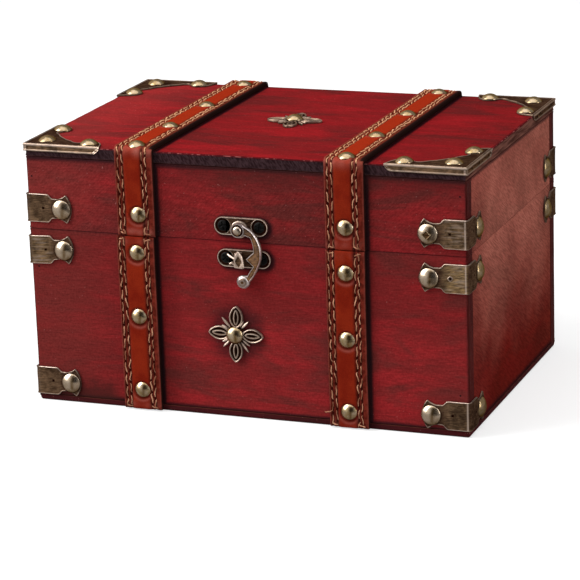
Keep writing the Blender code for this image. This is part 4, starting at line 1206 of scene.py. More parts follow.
# For each face, the painted dark reflection on its tacks: the way down, spread and start of the darkening,
# its least value and a streak
TACK_DARK_REFLECTION = {
    "front": ((0.35, -0.95), 1.7, -0.55, 0.0, 1.0),
    "side": ((0.0, -1.0), 1.3, 0.1, 0.55, 0.0),
    "top": ((0.45, 0.85), 1.5, 0.2, 0.35, 0.0),
}


def dome(shape, matrix, seed, seat, full=TACK_RADIUS, rise=TACK_RISE, facet=False):
    """A domed tack head with its edge turned down, dented a little, with a painted dark reflection on one
    side.
    """
    normal = matrix.to_3x3() @ Vector((0, 0, 1))
    face = "top" if normal.z > 0.9 else "side" if abs(normal.x) > 0.9 else "front"
    below, spread, start, least, streak = TACK_DARK_REFLECTION[face]
    ball = (full**2 + rise**2) / (2 * rise)
    slope = math.asin(full / ball)
    tilts = [Matrix.Rotation(random.uniform(-0.05, 0.05), 4, axis) for axis in "XY"]
    matrix = raised(matrix, seat) @ (tilts[0] @ tilts[1])
    silver = 0.55 if full == BRACKET_TACK_RADIUS and abs(normal.y) > 0.9 else 0.0
    profile = []
    for ring in range(TACK_RINGS + 1):
        share = ring / TACK_RINGS
        height = rise - ball * (1 - math.cos(slope * share))
        # The rim value paints a contact shadow along the turned-down edge and the foot ring under it
        edge = max(0.0, (share - 0.92) / 0.08) ** 2 * 0.5
        profile.append((share, ball * math.sin(slope * share), height, edge))
    profile += [(1.0, full, -0.28 * MM, 1.0), (1.0, full * 0.9, -0.4 * MM, 1.0)]
    rows = []
    for share, radius, height, edge in profile:
        for cosine, sine in circle(TACK_SIDES):
            x, y = radius * cosine, radius * sine
            dent = 0.035 * MM * noise.noise(Vector((x * 330, y * 330, seed * 5.3))) * (1 - share**4)
            pit = 0.12 * MM * bell(math.hypot(x - 0.2 * MM, y + 0.4 * MM), 0.5 * MM) if seed % 3 == 0 else 0.0
            # Painted dark reflection: a streak down the dome, and darkening towards one side
            stripe = streak * bell(x / full - 0.27 - 0.10 * y / full, 0.21) * (1 - share**6)
            low = min(1.0, max(least, stripe, (x * below[0] + y * below[1]) / full * spread + start))
            hollow = min(1.0, pit / (0.3 * MM))
            rows.append((matrix @ Vector((x, y, height + dent - pit)), edge, hollow, low, silver))
    faces = ring_faces(len(profile), TACK_SIDES) + capped_faces(len(profile), TACK_SIDES)[-1:]
    shape.add_rows(rows, flipped(faces), "rim", "hollow", "low", "silver")
    if facet:
        diamond(shape, raised(matrix, rise - 0.45 * MM), 2.4 * MM, 0.85 * MM, 0.66)


def diamond(shape, matrix, reach, height, pit=0.35):
    """A raised square frame on its corner, with a pit in it."""
    outline = []
    for turn in (-90, 0, 90, 180):
        corner = Vector((math.cos(math.radians(turn)), math.sin(math.radians(turn)))) * (reach - 0.4 * MM)
        outline += arc(corner, 0.4 * MM, turn - 45, turn + 45, 3)
    plate(shape, outline, (
        (0.0, height * 0.8, 0.9, 0), (0.12 * MM, height, 0, 0), (0.45 * MM, height, 0, 0),
        (0.6 * MM, height * pit, 0, 1.0), (0.8 * MM, height * pit, 0, 1.0),
    ), matrix)


def screw_head(shape, matrix, radius, seat, turn, cross=True):
    """A domed head with a cross slot, or a single one."""

    def slot(across, along):
        return max(0.0, 1 - (abs(across) / SLOT_HALF_WIDTH) ** 4) * (abs(along) < radius * SLOT_LENGTH_SHARE)

    rows = []
    for ring in range(SCREW_RINGS + 2):
        share = min(ring / SCREW_RINGS, 1.0)
        for cosine, sine in circle(SCREW_SIDES):
            x, y = radius * share * cosine, radius * share * sine
            a, b = x * math.cos(turn) + y * math.sin(turn), y * math.cos(turn) - x * math.sin(turn)
            cut = max(slot(a, b), slot(b, a)) if cross else slot(a, b)
            height = SCREW_RISE * (1 - share**2.4) - SLOT_DEPTH * cut
            if ring > SCREW_RINGS:
                height = -0.35 * MM
            rim = 1.0 if ring >= SCREW_RINGS - 1 else 0.15
            rows.append((matrix @ Vector((x, y, seat + height)), rim, cut))
    faces = ring_faces(SCREW_RINGS + 2, SCREW_SIDES) + capped_faces(SCREW_RINGS + 2, SCREW_SIDES)[-1:]
    shape.add_rows(rows, flipped(faces), "rim", "hollow")


def make_screws(name, spots, seat, radius, turns, material, body, nodes, cross=True):
    """Screw heads in one piece, each turned by a random angle."""
    screws = Shape("rim", "hollow")
    for spot in spots:
        screw_head(screws, spot, radius, seat, random.uniform(*turns), cross)
    screws.piece(name, material, body, nodes, "screw", sharp=35)


# Brackets


def bracket_half_height(u, length):
    """Half the bracket's height at a distance from its fold."""
    half = BRACKET_HEIGHT / 2
    tip = TIP_SHARE * length
    if u >= tip:
        sag = length - tip
        radius = (half**2 + sag**2) / (2 * sag)
        inside = radius**2 - (u - (length - radius)) ** 2
        return math.sqrt(max(inside, 0.0))
    for (a, ha), (b, hb) in zip(BRACKET_OUTLINE_SHARES, BRACKET_OUTLINE_SHARES[1:]):
        if u <= b * length:
            t = (u / length - a) / (b - a)
            return half * (ha + (hb - ha) * t)
    return half


def bracket_stations(length):
    """Distances from the fold where the plate has points."""
    tip = TIP_SHARE * length
    places = [share * length for share, _ in BRACKET_OUTLINE_SHARES]
    places += [BRACKET_FOLD * k for k in (0.33, 0.66, 1.0, 1.6)]
    places += [tip + (length - tip) * math.sin(math.radians(90 * k / 8)) for k in range(9)]
    places += [i * BRACKET_STEP for i in range(int(length / BRACKET_STEP))]
    for side in (-1, 1):
        places += [NAIL_HOLE_PLACE + side * NAIL_HOLE, NAIL_HOLE_PLACE + side * (NAIL_HOLE + 0.06 * MM)]
    kept = []
    for place in sorted(places):
        if not kept or place - kept[-1] > 0.05 * MM:
            kept.append(place)
    kept[-1] = length - 0.01 * MM
    return kept


def bracket_shares():
    """The plate's points across its height, finer at its rims and its nail hole."""
    hole = NAIL_HOLE / (BRACKET_HEIGHT / 2)
    shares = {round(-1 + 2 * i / BRACKET_CELLS, 5) for i in range(BRACKET_CELLS + 1)}
    for share in (0.985, 0.965, 0.945, 0.9, hole, hole * 1.1):
        shares |= {-share, share}
    return sorted(shares)


def bracket_border():
    """The pieces of the plate's outline, for its distance from a point."""
    border = [(-u, bracket_half_height(u, FRONT_LEG)) for u in reversed(bracket_stations(FRONT_LEG)[::2])]
    border += [(u, bracket_half_height(u, SIDE_LEG)) for u in bracket_stations(SIDE_LEG)[::2]]
    border += [(u, -v) for u, v in reversed(border)]
    return [(Vector(a).to_3d(), Vector(b).to_3d()) for a, b in zip(border, border[1:] + border[:1])]


def border_distance(segments, u, v):
    here = Vector((u, v, 0))
    best = 1.0
    for a, b in segments:
        if min(abs(a.x - u), abs(b.x - u)) > 2.5 * MM or (b - a).length < 1e-9:
            continue
        near, share = intersect_point_line(here, a, b)
        near = a if share < 0 else b if share > 1 else near
        best = min(best, (near - here).length)
    return best


def bracket_look(node, side, seed, tacks, u, v, length, distance):
    """The plate's height at a place, and its values of rim, hollow and gilt."""
    if abs(abs(u) - NAIL_HOLE_PLACE) <= NAIL_HOLE * 1.001 and abs(v) <= NAIL_HOLE * 1.001:
        height, in_hole = 0.1 * MM, True
    else:
        in_hole = False
        height = BRACKET_THICKNESS
        if distance < RIM_WIDTH:
            height -= 0.22 * MM * (1 - min(1.0, distance / (0.2 * MM))) ** 2
        else:
            height -= RIM_RISE * min(1.0, (distance - RIM_WIDTH) / (0.25 * MM))
        height += 0.07 * MM * noise.noise(Vector((u * 230, v * 230, seed * 4.7)))
    along = abs(u) / length
    tail = clamp((along - 0.36) / 0.2)
    on_arc = along > TIP_SHARE - 0.01 and abs(v) < BRACKET_HEIGHT / 2 * 0.72

    bright = (1.0 - 0.55 * tail) if distance < RIM_WIDTH * 1.1 else 0.0
    if on_arc:
        bright *= 0.35
    if node in BRACKET_GILT and u < 0 and distance > RIM_WIDTH:
        bright = (1 - tail) * max(0.0, 0.6 * noise.noise(Vector((u * 130, v * 1000, seed))))
    # A painted highlight down the fold, strong on the right-hand brackets
    bright = max(bright, (1.0 if side > 0 else 0.25) * bell(u + 1.0 * MM, 0.33 * MM))

    patina = BRACKET_PATINA.get(node, USUAL_PATINA)
    # Patina, with painted shade growing towards the tail where the tack sits
    dark = max(0.72 * tail, patina) if distance >= RIM_WIDTH else 0.15 * tail + 0.4 * on_arc
    # Painted shadow in a ring round each tack
    for tack_u, tack_v in tacks:
        from_tack = math.hypot(u - tack_u, v - tack_v) - BRACKET_TACK_RADIUS
        dark = max(dark, 0.95 * bell(from_tack - 0.3 * MM, 0.45 * MM))
    dark = max(dark, 0.75 * bell(distance - RIM_WIDTH * 1.4, 0.16 * MM))
    dark = max(dark, 0.8 * bell(u + 0.35 * MM, 0.25 * MM), 0.5 * bell(u + 1.7 * MM, 0.22 * MM))
    # Painted shade on the side leg, and on the fold of the left-hand brackets
    if u > -0.5 * BRACKET_FOLD:
        bright, dark = bright * 0.4, max(dark, 0.72)
    if side < 0 and abs(u) < 1.3 * MM:
        bright, dark = bright * 0.5, max(dark, 0.62)
    gilt = BRACKET_GILT.get(node, USUAL_GILT) * (1 - tail) * (u < 0)
    return height, bright, 1.0 if in_hole else dark, gilt


def bracket_faces(count, wide):
    """Faces of a plate with so many stations of so many points, and two points under each."""
    faces = []
    for i in range(count - 1):
        for j in range(wide - 1):
            a, b = i * wide + j, (i + 1) * wide + j
            faces.append((a, b, b + 1, a + 1))
    base = count * wide
    for i in range(count - 1):
        high_a, low_a, high_b, low_b = range(base + 2 * i, base + 2 * i + 4)
        faces.append((i * wide, low_a, low_b, (i + 1) * wide))
        faces.append(((i + 1) * wide + wide - 1, high_b, high_a, i * wide + wide - 1))
        faces.append((low_a, high_a, high_b, low_b))
    end = base + 2 * count
    faces.append((*range(wide), base, base + 1))
    faces.append((*reversed(range(base - wide, base)), end - 1, end - 2))
    return faces


def make_bracket(name, node, side, facing, middle, body, material, seed):
    """An L-shaped plate round a corner. Its front leg has u below 0. Returns where its tacks sit."""
    fold_x = side * (HALF_X + GAP)
    fold_y = facing * (HALF_Y + GAP)
    tilt = BRACKET_TILTS.get(node, 0.0)
    front_reach, side_reach = (
        leg * share for leg, share in zip((FRONT_LEG, SIDE_LEG), BRACKET_TACK_SHARES[side])
    )
    front_drop, side_drop = BRACKET_TACK_DROPS

    def bend(u, v, height):
        v += tilt * max(0.0, -u)
        if u <= -BRACKET_FOLD:
            return Vector((fold_x + side * u, fold_y + facing * height, middle + v))
        if u >= BRACKET_FOLD:
            return Vector((fold_x + side * height, fold_y - facing * u, middle + v))
        angle = math.radians(45) * (u / BRACKET_FOLD) + math.radians(45)
        out_x = (BRACKET_FOLD + height) * math.sin(angle) - BRACKET_FOLD
        out_y = (BRACKET_FOLD + height) * math.cos(angle) - BRACKET_FOLD
        return Vector((fold_x + side * out_x, fold_y + facing * out_y, middle + v))

    stations = [(-u, FRONT_LEG) for u in reversed(bracket_stations(FRONT_LEG))]
    stations += [(u, SIDE_LEG) for u in bracket_stations(SIDE_LEG)[1:]]
    shares = bracket_shares()
    segments = bracket_border()
    tacks = ((-front_reach, -front_drop), (side_reach, -side_drop))
    rows, underside = [], []
    for u, length in stations:
        half = bracket_half_height(abs(u), length)
        for v in [share * half for share in shares]:
            distance = border_distance(segments, u, v)
            height, *paint = bracket_look(node, side, seed, tacks, u, v, length, distance)
            rows.append((bend(u, v, height), *paint))
        underside += [(bend(u, sign * half, 0.0), 0.3, 0.0, 0.0) for sign in (1, -1)]
    faces = bracket_faces(len(stations), len(shares))
    shape = Shape("rim", "hollow", "gilt")
    shape.add_rows(rows + underside, flipped(faces) if side * facing > 0 else faces, *shape.layers)
    place = on_front if facing < 0 else on_back
    if node == DIAMOND_HOLE_BRACKET:
        ring = Shape("rim", "hollow")
        spot = raised(place(fold_x - side * NAIL_HOLE_PLACE, middle), GAP + 0.3 * MM)
        diamond(ring, spot, 1.55 * MM, BRACKET_THICKNESS - 0.2 * MM)
        ring.layers["rim"] = [0.45 * (1.0 - dark) for dark in ring.layers["hollow"]]
        shape.add(ring.verts, ring.faces, **ring.layers)
    shape.piece(name, material, body, (node,), "bronze", sharp=45)
    return [
        place(fold_x - side * front_reach, middle - front_drop + tilt * front_reach),
        on_side(side, fold_y - facing * side_reach, middle - side_drop),
    ]


# Corner pieces


def lip_rows(matrix, seed):
    """The rounded lips down two sides, as rows of (vertex, rim, hollow)."""
    rows = []
    for out_share, down_share in LIP_PROFILE_SHARES:
        out = CORNER_THICKNESS * out_share
        down = CORNER_LIP * down_share - CORNER_THICKNESS * (1 - down_share)
        end = CORNER_LEG - CORNER_LIP_BEVEL * (1 - math.sqrt(1 - down_share**2))
        places = [end, end - 0.45 * MM, end - 0.9 * MM, end - 1.3 * MM]
        places += [end - 1.9 * MM - (end - 4.4 * MM) * k / 20 for k in range(21)]
        places += [1.9 * MM, 1.35 * MM, 0.8 * MM]
        line = 0.0 if out_share < 0.9 else 0.42 if down_share > 0.6 else 0.62

        def row(along, leg):
            ends = min(end - along, along - 0.8 * MM)
            wave = noise.noise(Vector((along * 160, down * 200, seed * (3.3 + 3.8 * leg))))
            wave *= 0.07 * MM * (out_share > 0.5)
            spread = (-out - wave, along) if leg else (along, -out - wave)
            bright = max(line, 0.55 if ends < 0.4 * MM and out_share > 0.5 else 0.0)
            dark = 0.55 * bell(ends - 1.15 * MM, 0.3 * MM) * (out_share < 0.9)
            return matrix @ Vector((*spread, -down)), bright, dark

        rows += [row(along, 0) for along in places]
        corner = matrix @ Vector((-out * 0.86, -out * 0.86, -down))
        rows.append((corner, line, 0.5 if 0.3 < down_share < 0.8 else 0.0))
        rows += [row(along, 1) for along in reversed(places)]
    return rows


def lip_faces(strips, wide):
    """Quads between strips that follow each other round the lip, and its two ends."""
    faces = []
    for i in range(strips):
        j = (i + 1) % strips
        faces += [(i * wide + k, j * wide + k, j * wide + k + 1, i * wide + k + 1) for k in range(wide - 1)]
    faces.append(tuple(i * wide for i in range(strips)))
    faces.append(tuple(i * wide + wide - 1 for i in reversed(range(strips))))
    return faces


def make_corner_piece(name, node, side, facing, material, seed):
    """A scalloped plate with lips. Returns where its tacks sit."""
    fold_x = side * (HALF_X + GAP)
    fold_y = facing * (HALF_Y + GAP)
    mirrored = side * facing < 0
    matrix = Matrix(((-side, 0, 0, fold_x), (0, -facing, 0, fold_y), (0, 0, 1, TOP + GAP), (0, 0, 0, 1)))
    edge = smooth_curve([(CORNER_LEG * a, CORNER_LEG * b) for a, b in CORNER_EDGE_SHARES], 5)
    outline = [(CORNER_LEG * k / 10, 0.0) for k in range(11)] + edge
    outline += [(y, x) for x, y in reversed(edge[:-1])]
    outline += [(0.0, CORNER_LEG * k / 10) for k in range(10, 0, -1)]
    top = CORNER_THICKNESS
    part = Shape("rim", "hollow")
    plate(part, outline, (
        (0.0, top * 0.7, 0.1, 0.5), (0.15 * MM, top, 0.35, 0.3), (0.45 * MM, top, 0.35, 0.3),
        (0.7 * MM, top - 0.25 * MM, 0, 0.94), (1.6 * MM, top - 0.25 * MM, 0, 0.86),
    ), matrix)
    shape = Shape("rim", "hollow")
    shape.add(part.verts, flipped(part.faces) if mirrored else part.faces, **part.layers)
    rows = lip_rows(matrix, seed)
    strips = len(LIP_PROFILE_SHARES)
    faces = lip_faces(strips, len(rows) // strips)
    shape.add_rows(rows, faces if mirrored else flipped(faces), "rim", "hollow")
    shape.piece(name, material, "lid", (node,), "bronze", sharp=45)
    return [
        on_top(fold_x - side * CORNER_LEG * a, fold_y - facing * CORNER_LEG * b)
        for a, b in CORNER_TACK_SHARES
    ]


# Rosettes


def leaf(length, half_width, root, points=22, plump=0.62):
    """A pointed leaf from its root to its tip, anticlockwise."""
    right = []
    for i in range(points + 1):
        t = i / points
        width = half_width * math.sin(math.pi * t**0.92) ** plump
        right.append((root + (length - root) * t, -width - (0.2 * MM if i == 0 else 0.0)))
    return right + [(x, -y) for x, y in reversed(right[:-1])]


def make_rosette(name, node, matrix, turn, body, material, shine=1.0):
    shape = Shape("rim", "hollow")
    full = ROSETTE_HEIGHT
    matrix = raised(matrix, GAP)
    petal_outline = leaf(ROSETTE_RADIUS, PETAL_HALF_WIDTH, 3.2 * MM)
    inner_outline = leaf(ROSETTE_RADIUS * 0.88, PETAL_HALF_WIDTH * 0.42, 4.6 * MM, 18, 0.55)
    for i, sprigs in enumerate(SPRIGS):
        petal = matrix @ Matrix.Rotation(turn + i * math.pi / 2, 4, "Z")
        plate(shape, petal_outline, (
            (0.0, full * 0.5, 0.4, 0.1), (0.14 * MM, full * 0.9, 0.7, 0), (0.4 * MM, full, 0.6, 0),
            (0.65 * MM, full * 0.9, 0.4, 0.1), (0.8 * MM, full * 0.6, 0, 0.8), (1.0 * MM, full * 0.35, 0, 1),
            (1.5 * MM, full * 0.33, 0, 1),
        ), petal)
        plate(shape, inner_outline, (
            (0.0, full * 0.5, 0.1, 0.5), (0.14 * MM, full * 0.88, 0.5, 0), (0.6 * MM, full * 0.98, 0.55, 0),
            (0.85 * MM, full * 0.5, 0, 0.9), (1.0 * MM, full * 0.45, 0, 1),
        ), petal, floor=full * 0.2)
        for lean, reach, width in sprigs:
            sprig = matrix @ Matrix.Rotation(turn + (i + 0.5) * math.pi / 2 + lean, 4, "Z")
            plate(shape, leaf(reach, width, 4.5 * MM, 12), (
                (0.0, full * 0.4, 0.2, 0.3), (0.14 * MM, full * 0.85, 0.8, 0), (0.3 * MM, full * 0.95, 1, 0),
            ), sprig)
    turned(shape, (
        (ON_AXIS, full * 0.6), (4.6 * MM, full * 0.6), (5.0 * MM, full * 0.4), (5.0 * MM, 0.0),
        (ON_AXIS, 0.0),
    ), 40, matrix, hollow=(1, 1, 0.95, 0.8, 0.8))
    shape.layers["rim"] = [bright * shine for bright in shape.layers["rim"]]
    shape.piece(name, material, body, (node,), "bronze", sharp=45)


# Latch


def stadium(length, height, steps=16):
    radius = height / 2
    reach = length / 2 - radius
    return arc((reach, 0), radius, -90, 90, steps) + arc((-reach, 0), radius, 90, 270, steps)


def make_latch_plate(name, node, body, screw_material):
    """A plate with a raised island that has a lobe round each screw. The screws are made here too."""
    centre_x, middle, length = latch_plate_place(node)
    matrix = raised(on_front(centre_x, middle), GAP)
    shape = Shape("rim", "hollow")
    top = PLATE_THICKNESS
    plate(shape, stadium(length, LATCH_PLATE_HEIGHT), (
        (0.0, top * 0.75, 0.5, 0.1), (0.12 * MM, top, 1, 0), (0.40 * MM, top, 1, 0),
        (0.56 * MM, top * 0.4, 0, 0.95), (1.2 * MM, top * 0.36, 0, 1),
    ), matrix)
    reach = length / 2 - LATCH_PLATE_HEIGHT / 2
    right = arc((reach, 0), LATCH_LOBE, 180 + LOBE_OPENING, 180 - LOBE_OPENING, 10)
    left = arc((-reach, 0), LATCH_LOBE, LOBE_OPENING, -LOBE_OPENING, 10)
    plate(shape, right + left, (
        (0.0, top * 0.7, 0.2, 0.4), (0.2 * MM, top * 0.98, 0.7, 0), (0.5 * MM, top * 0.85, 0, 0.72),
        (1.0 * MM, top * 0.84, 0, 0.82),
    ), matrix, floor=top * 0.3)
    spots = [on_front(centre_x + sign * reach, middle) for sign in (-1, 1)]
    nodes = [f"{node}_screw_{hand}" for hand in ("left", "right")]
    make_screws(
        f"{name}_screws", spots, GAP + top * 0.62, LATCH_SCREW_RADIUS, (0.1, 1.4), screw_material, body, nodes
    )
    return shape, middle


def hook_outline(drop):
    """The hook's outline. Its shares are of the drop from its pivot to the lower plate's middle."""
    centre = [drop * share for share in HOOK_ARC_CENTRE_SHARES]

    def polar(table):
        return [arc(centre, drop * share, degrees, degrees, 1)[0] for degrees, share in table]

    eye = arc((0, 0), HOOK_EYE_RADIUS, 62, 322, 28)
    inside = polar([
        (degrees, HOOK_INNER_SHARE + HOOK_TAPER_SHARE * (max(degrees - 3, 0) / 35) ** 1.5)
        for degrees in range(38, 0, -3)
    ])
    spur = [tuple(drop * share for share in HOOK_SPUR_SHARES)]
    ball = arc([drop * share for share in HOOK_BALL_SHARES], HOOK_BALL_RADIUS, 118, 352, 24)
    outside = arc(centre, drop * HOOK_OUTER_SHARE, -28, 50, 20)
    return [*eye, *inside, *spur, *polar(HOOK_INSIDE_SHARES), *ball, *polar(HOOK_OUTSIDE_SHARES), *outside]


def make_hook(pivot, drop, material):
    hook = Shape("rim", "hollow")
    full = HOOK_THICKNESS
    foot = raised(pivot, HOOK_FOOT)
    plate(hook, hook_outline(drop), (
        (0.0, full * 0.45, 0.2, 0.5), (0.1 * MM, full * 0.7, 0.8, 0), (0.5 * MM, full, 0.8, 0),
        (0.7 * MM, full * 0.9, 0, 0.55), (1.0 * MM, full * 0.92, 0, 0.15), (1.3 * MM, full * 0.94, 0.06, 0),
    ), foot)
    ball = pivot @ Matrix.Translation([*(drop * share for share in HOOK_BALL_SHARES), HOOK_FOOT])
    turned(hook, (
        (ON_AXIS, full + 0.55 * MM), (0.5 * MM, full + 0.6 * MM), (1.0 * MM, full + 0.8 * MM),
        (1.9 * MM, full + 0.62 * MM), (2.7 * MM, full + 0.15 * MM), (3.2 * MM, full * 0.6),
        (ON_AXIS, full * 0.4),
    ), HOOK_SIDES, ball, rim=(0, 0, 0.3, 0.15, 0.9, 1, 0), hollow=(0.8, 0.6, 0, 0, 0, 0, 0))
    for index, vert in enumerate(hook.verts):
        spot = pivot.inverted() @ Vector(vert)
        if math.hypot(spot.x, spot.y) < HOOK_EYE_RADIUS + 0.2 * MM and spot.x < 2 * MM:
            lit = clamp(0.3 + spot.y / HOOK_EYE_RADIUS, 0.3, 1.0)
            hook.layers["rim"][index] *= lit
            hook.layers["hollow"][index] = max(hook.layers["hollow"][index], 0.6 * (1 - lit))
    rows = []
    for radius, height, bright, dark in (
        (2.2 * MM, full + 0.02 * MM, 0, 1.0), (2.9 * MM, full + 0.02 * MM, 0, 1.0),
        (3.1 * MM, full + 0.2 * MM, 0.5, 0.15), (3.45 * MM, full + 0.2 * MM, 0.5, 0.1),
        (3.7 * MM, full * 0.8, 0, 0.3), (2.2 * MM, full * 0.5, 0, 0.3),
    ):
        for x, y in circle(HOOK_SIDES):
            rows.append((foot @ Vector((radius * x, radius * y, height)), bright, dark))
    faces = flipped(ring_faces(6, HOOK_SIDES))
    last = 5 * HOOK_SIDES
    faces += [(i, (i + 1) % HOOK_SIDES, last + (i + 1) % HOOK_SIDES, last + i) for i in range(HOOK_SIDES)]
    hook.add_rows(rows, faces, "rim", "hollow")
    hook.piece("latch_hook", material, "hook", ("hook",), "bronze", sharp=40)


def make_rivet(pivot, material):
    rivet = Shape("rim", "hollow", "low", "silver")
    profile = [(RIVET_RADIUS * x, RIVET_RISE * y) for y, x in arc((0, 0), 1, 0, 90, 9)]
    profile[0] = (ON_AXIS, RIVET_RISE)
    profile.append((ON_AXIS, -0.4 * MM))
    matrix = raised(pivot, RIVET_FOOT)
    turned(rivet, profile, HOOK_SIDES, matrix, rim=[0.0] * 9 + [0.6, 0.6])
    rivet.layers["silver"] = [0.9] * len(rivet.verts)
    # Painted dark reflection, growing towards the rivet's bottom
    rivet.layers["low"] = [max(0.0, (matrix.translation.z - z) / (2.4 * MM)) for _, _, z in rivet.verts]
    rivet.piece("latch_rivet", material, "lid", ("hook_rivet",), "tack", sharp=40)


def make_latch(bronze_material, hook_material, brass_material, screw_material):
    shape, upper = make_latch_plate("latch_upper_plate", "hook_plate", "lid", screw_material)
    pivot = on_front(PIVOT_X, upper - PIVOT_DROP)
    turned(shape, (
        (ON_AXIS, 2.2 * MM), (3.6 * MM, 2.2 * MM), (4.2 * MM, 1.9 * MM), (4.4 * MM, 1.2 * MM),
        (ON_AXIS, 1.0 * MM),
    ), 40, pivot, rim=(0.2, 0.4, 1, 0.4, 0))
    shape.piece("latch_upper_plate", bronze_material, "lid", ("hook_plate",), "bronze", sharp=40)

    shape, lower = make_latch_plate("latch_lower_plate", "catch_plate", "body", screw_material)
    make_keeper(shape, lower)
    shape.piece("latch_lower_plate", bronze_material, "body", ("catch_plate",), "bronze", sharp=40)
    make_hook(pivot, upper - PIVOT_DROP - lower, hook_material)
    make_rivet(pivot, brass_material)


def make_keeper(shape, middle):
    """The raised loop on the lower plate, with a pit in its face and two small bars beside it."""
    matrix = on_front(PIVOT_X + KEEPER_SHIFT, middle)
    outline = smooth_curve([Vector(point) * MM for point in KEEPER_OUTLINE], 4)[:-1]
    rows = []
    for inset, below, bright, dark in (
        (0.0, 1.05 * MM, 0.1, 0.5), (0.0, 0.35 * MM, 0.9, 0), (0.3 * MM, 0, 1, 0), (0.75 * MM, 0, 0.7, 0.0),
    ):
        for x, y in offset(outline, inset) if inset else outline:
            rows.append((matrix @ Vector((x, y, KEEPER_FACE - below)), bright, dark))
    for scale, below, bright, dark in (
        (1.0, 0.02 * MM, 0.7, 0), (0.86, 0.25 * MM, 0.3, 0.0), (0.78, 0.7 * MM, 0, 0.3),
    ):
        for x, y in outline:
            angle = math.atan2(y + KEEPER_PIT_DROP, x)
            radius = KEEPER_PIT_RADIUS * scale / (abs(math.cos(angle)) + 0.66 * abs(math.sin(angle)))
            x, y = radius * math.cos(angle), radius * math.sin(angle) - KEEPER_PIT_DROP
            rows.append((matrix @ Vector((x, y, KEEPER_FACE - below)), bright, dark))
    shape.add_rows(rows, capped_faces(len(rows) // len(outline), len(outline)), "rim", "hollow")
    for sign in (-1, 1):
        outline = [(-2.2 * MM, 0), (0.55 * MM, 0), (0.55 * MM, sign * 0.9 * MM), (-2.2 * MM, sign * 0.9 * MM)]
        if sign < 0:
            outline.reverse()
        leg = matrix @ Matrix.Translation((0, sign * 2.55 * MM, 0))
        levels = (0.0, KEEPER_FACE - 0.9 * MM, 0.7, 0), (0.1 * MM, KEEPER_FACE - 0.8 * MM, 0.7, 0)
        plate(shape, outline, levels, leg, floor=GAP + 0.5 * MM)
    for points, radius in KEEPER_BARS:
        tube(shape, [matrix @ (Vector(point) * MM) for point in points], radius, 10, rim=1.0)


# Hinges


def leaf_outline(half, up):
    """The hinge leaf that lies above the pin, where up is 1, or below it, where up is -1."""
    middle = up * (LEAF_REACH - LEAF_CORNER)
    outline = [(-half, up * (BARREL_RADIUS + GAP)), (half, up * (BARREL_RADIUS + GAP))]
    outline += arc((half - LEAF_CORNER, middle), LEAF_CORNER, 0, up * 90, 6)
    outline += arc((LEAF_CORNER - half, middle), LEAF_CORNER, up * 90, up * 180, 6)
    return outline if up > 0 else outline[::-1]


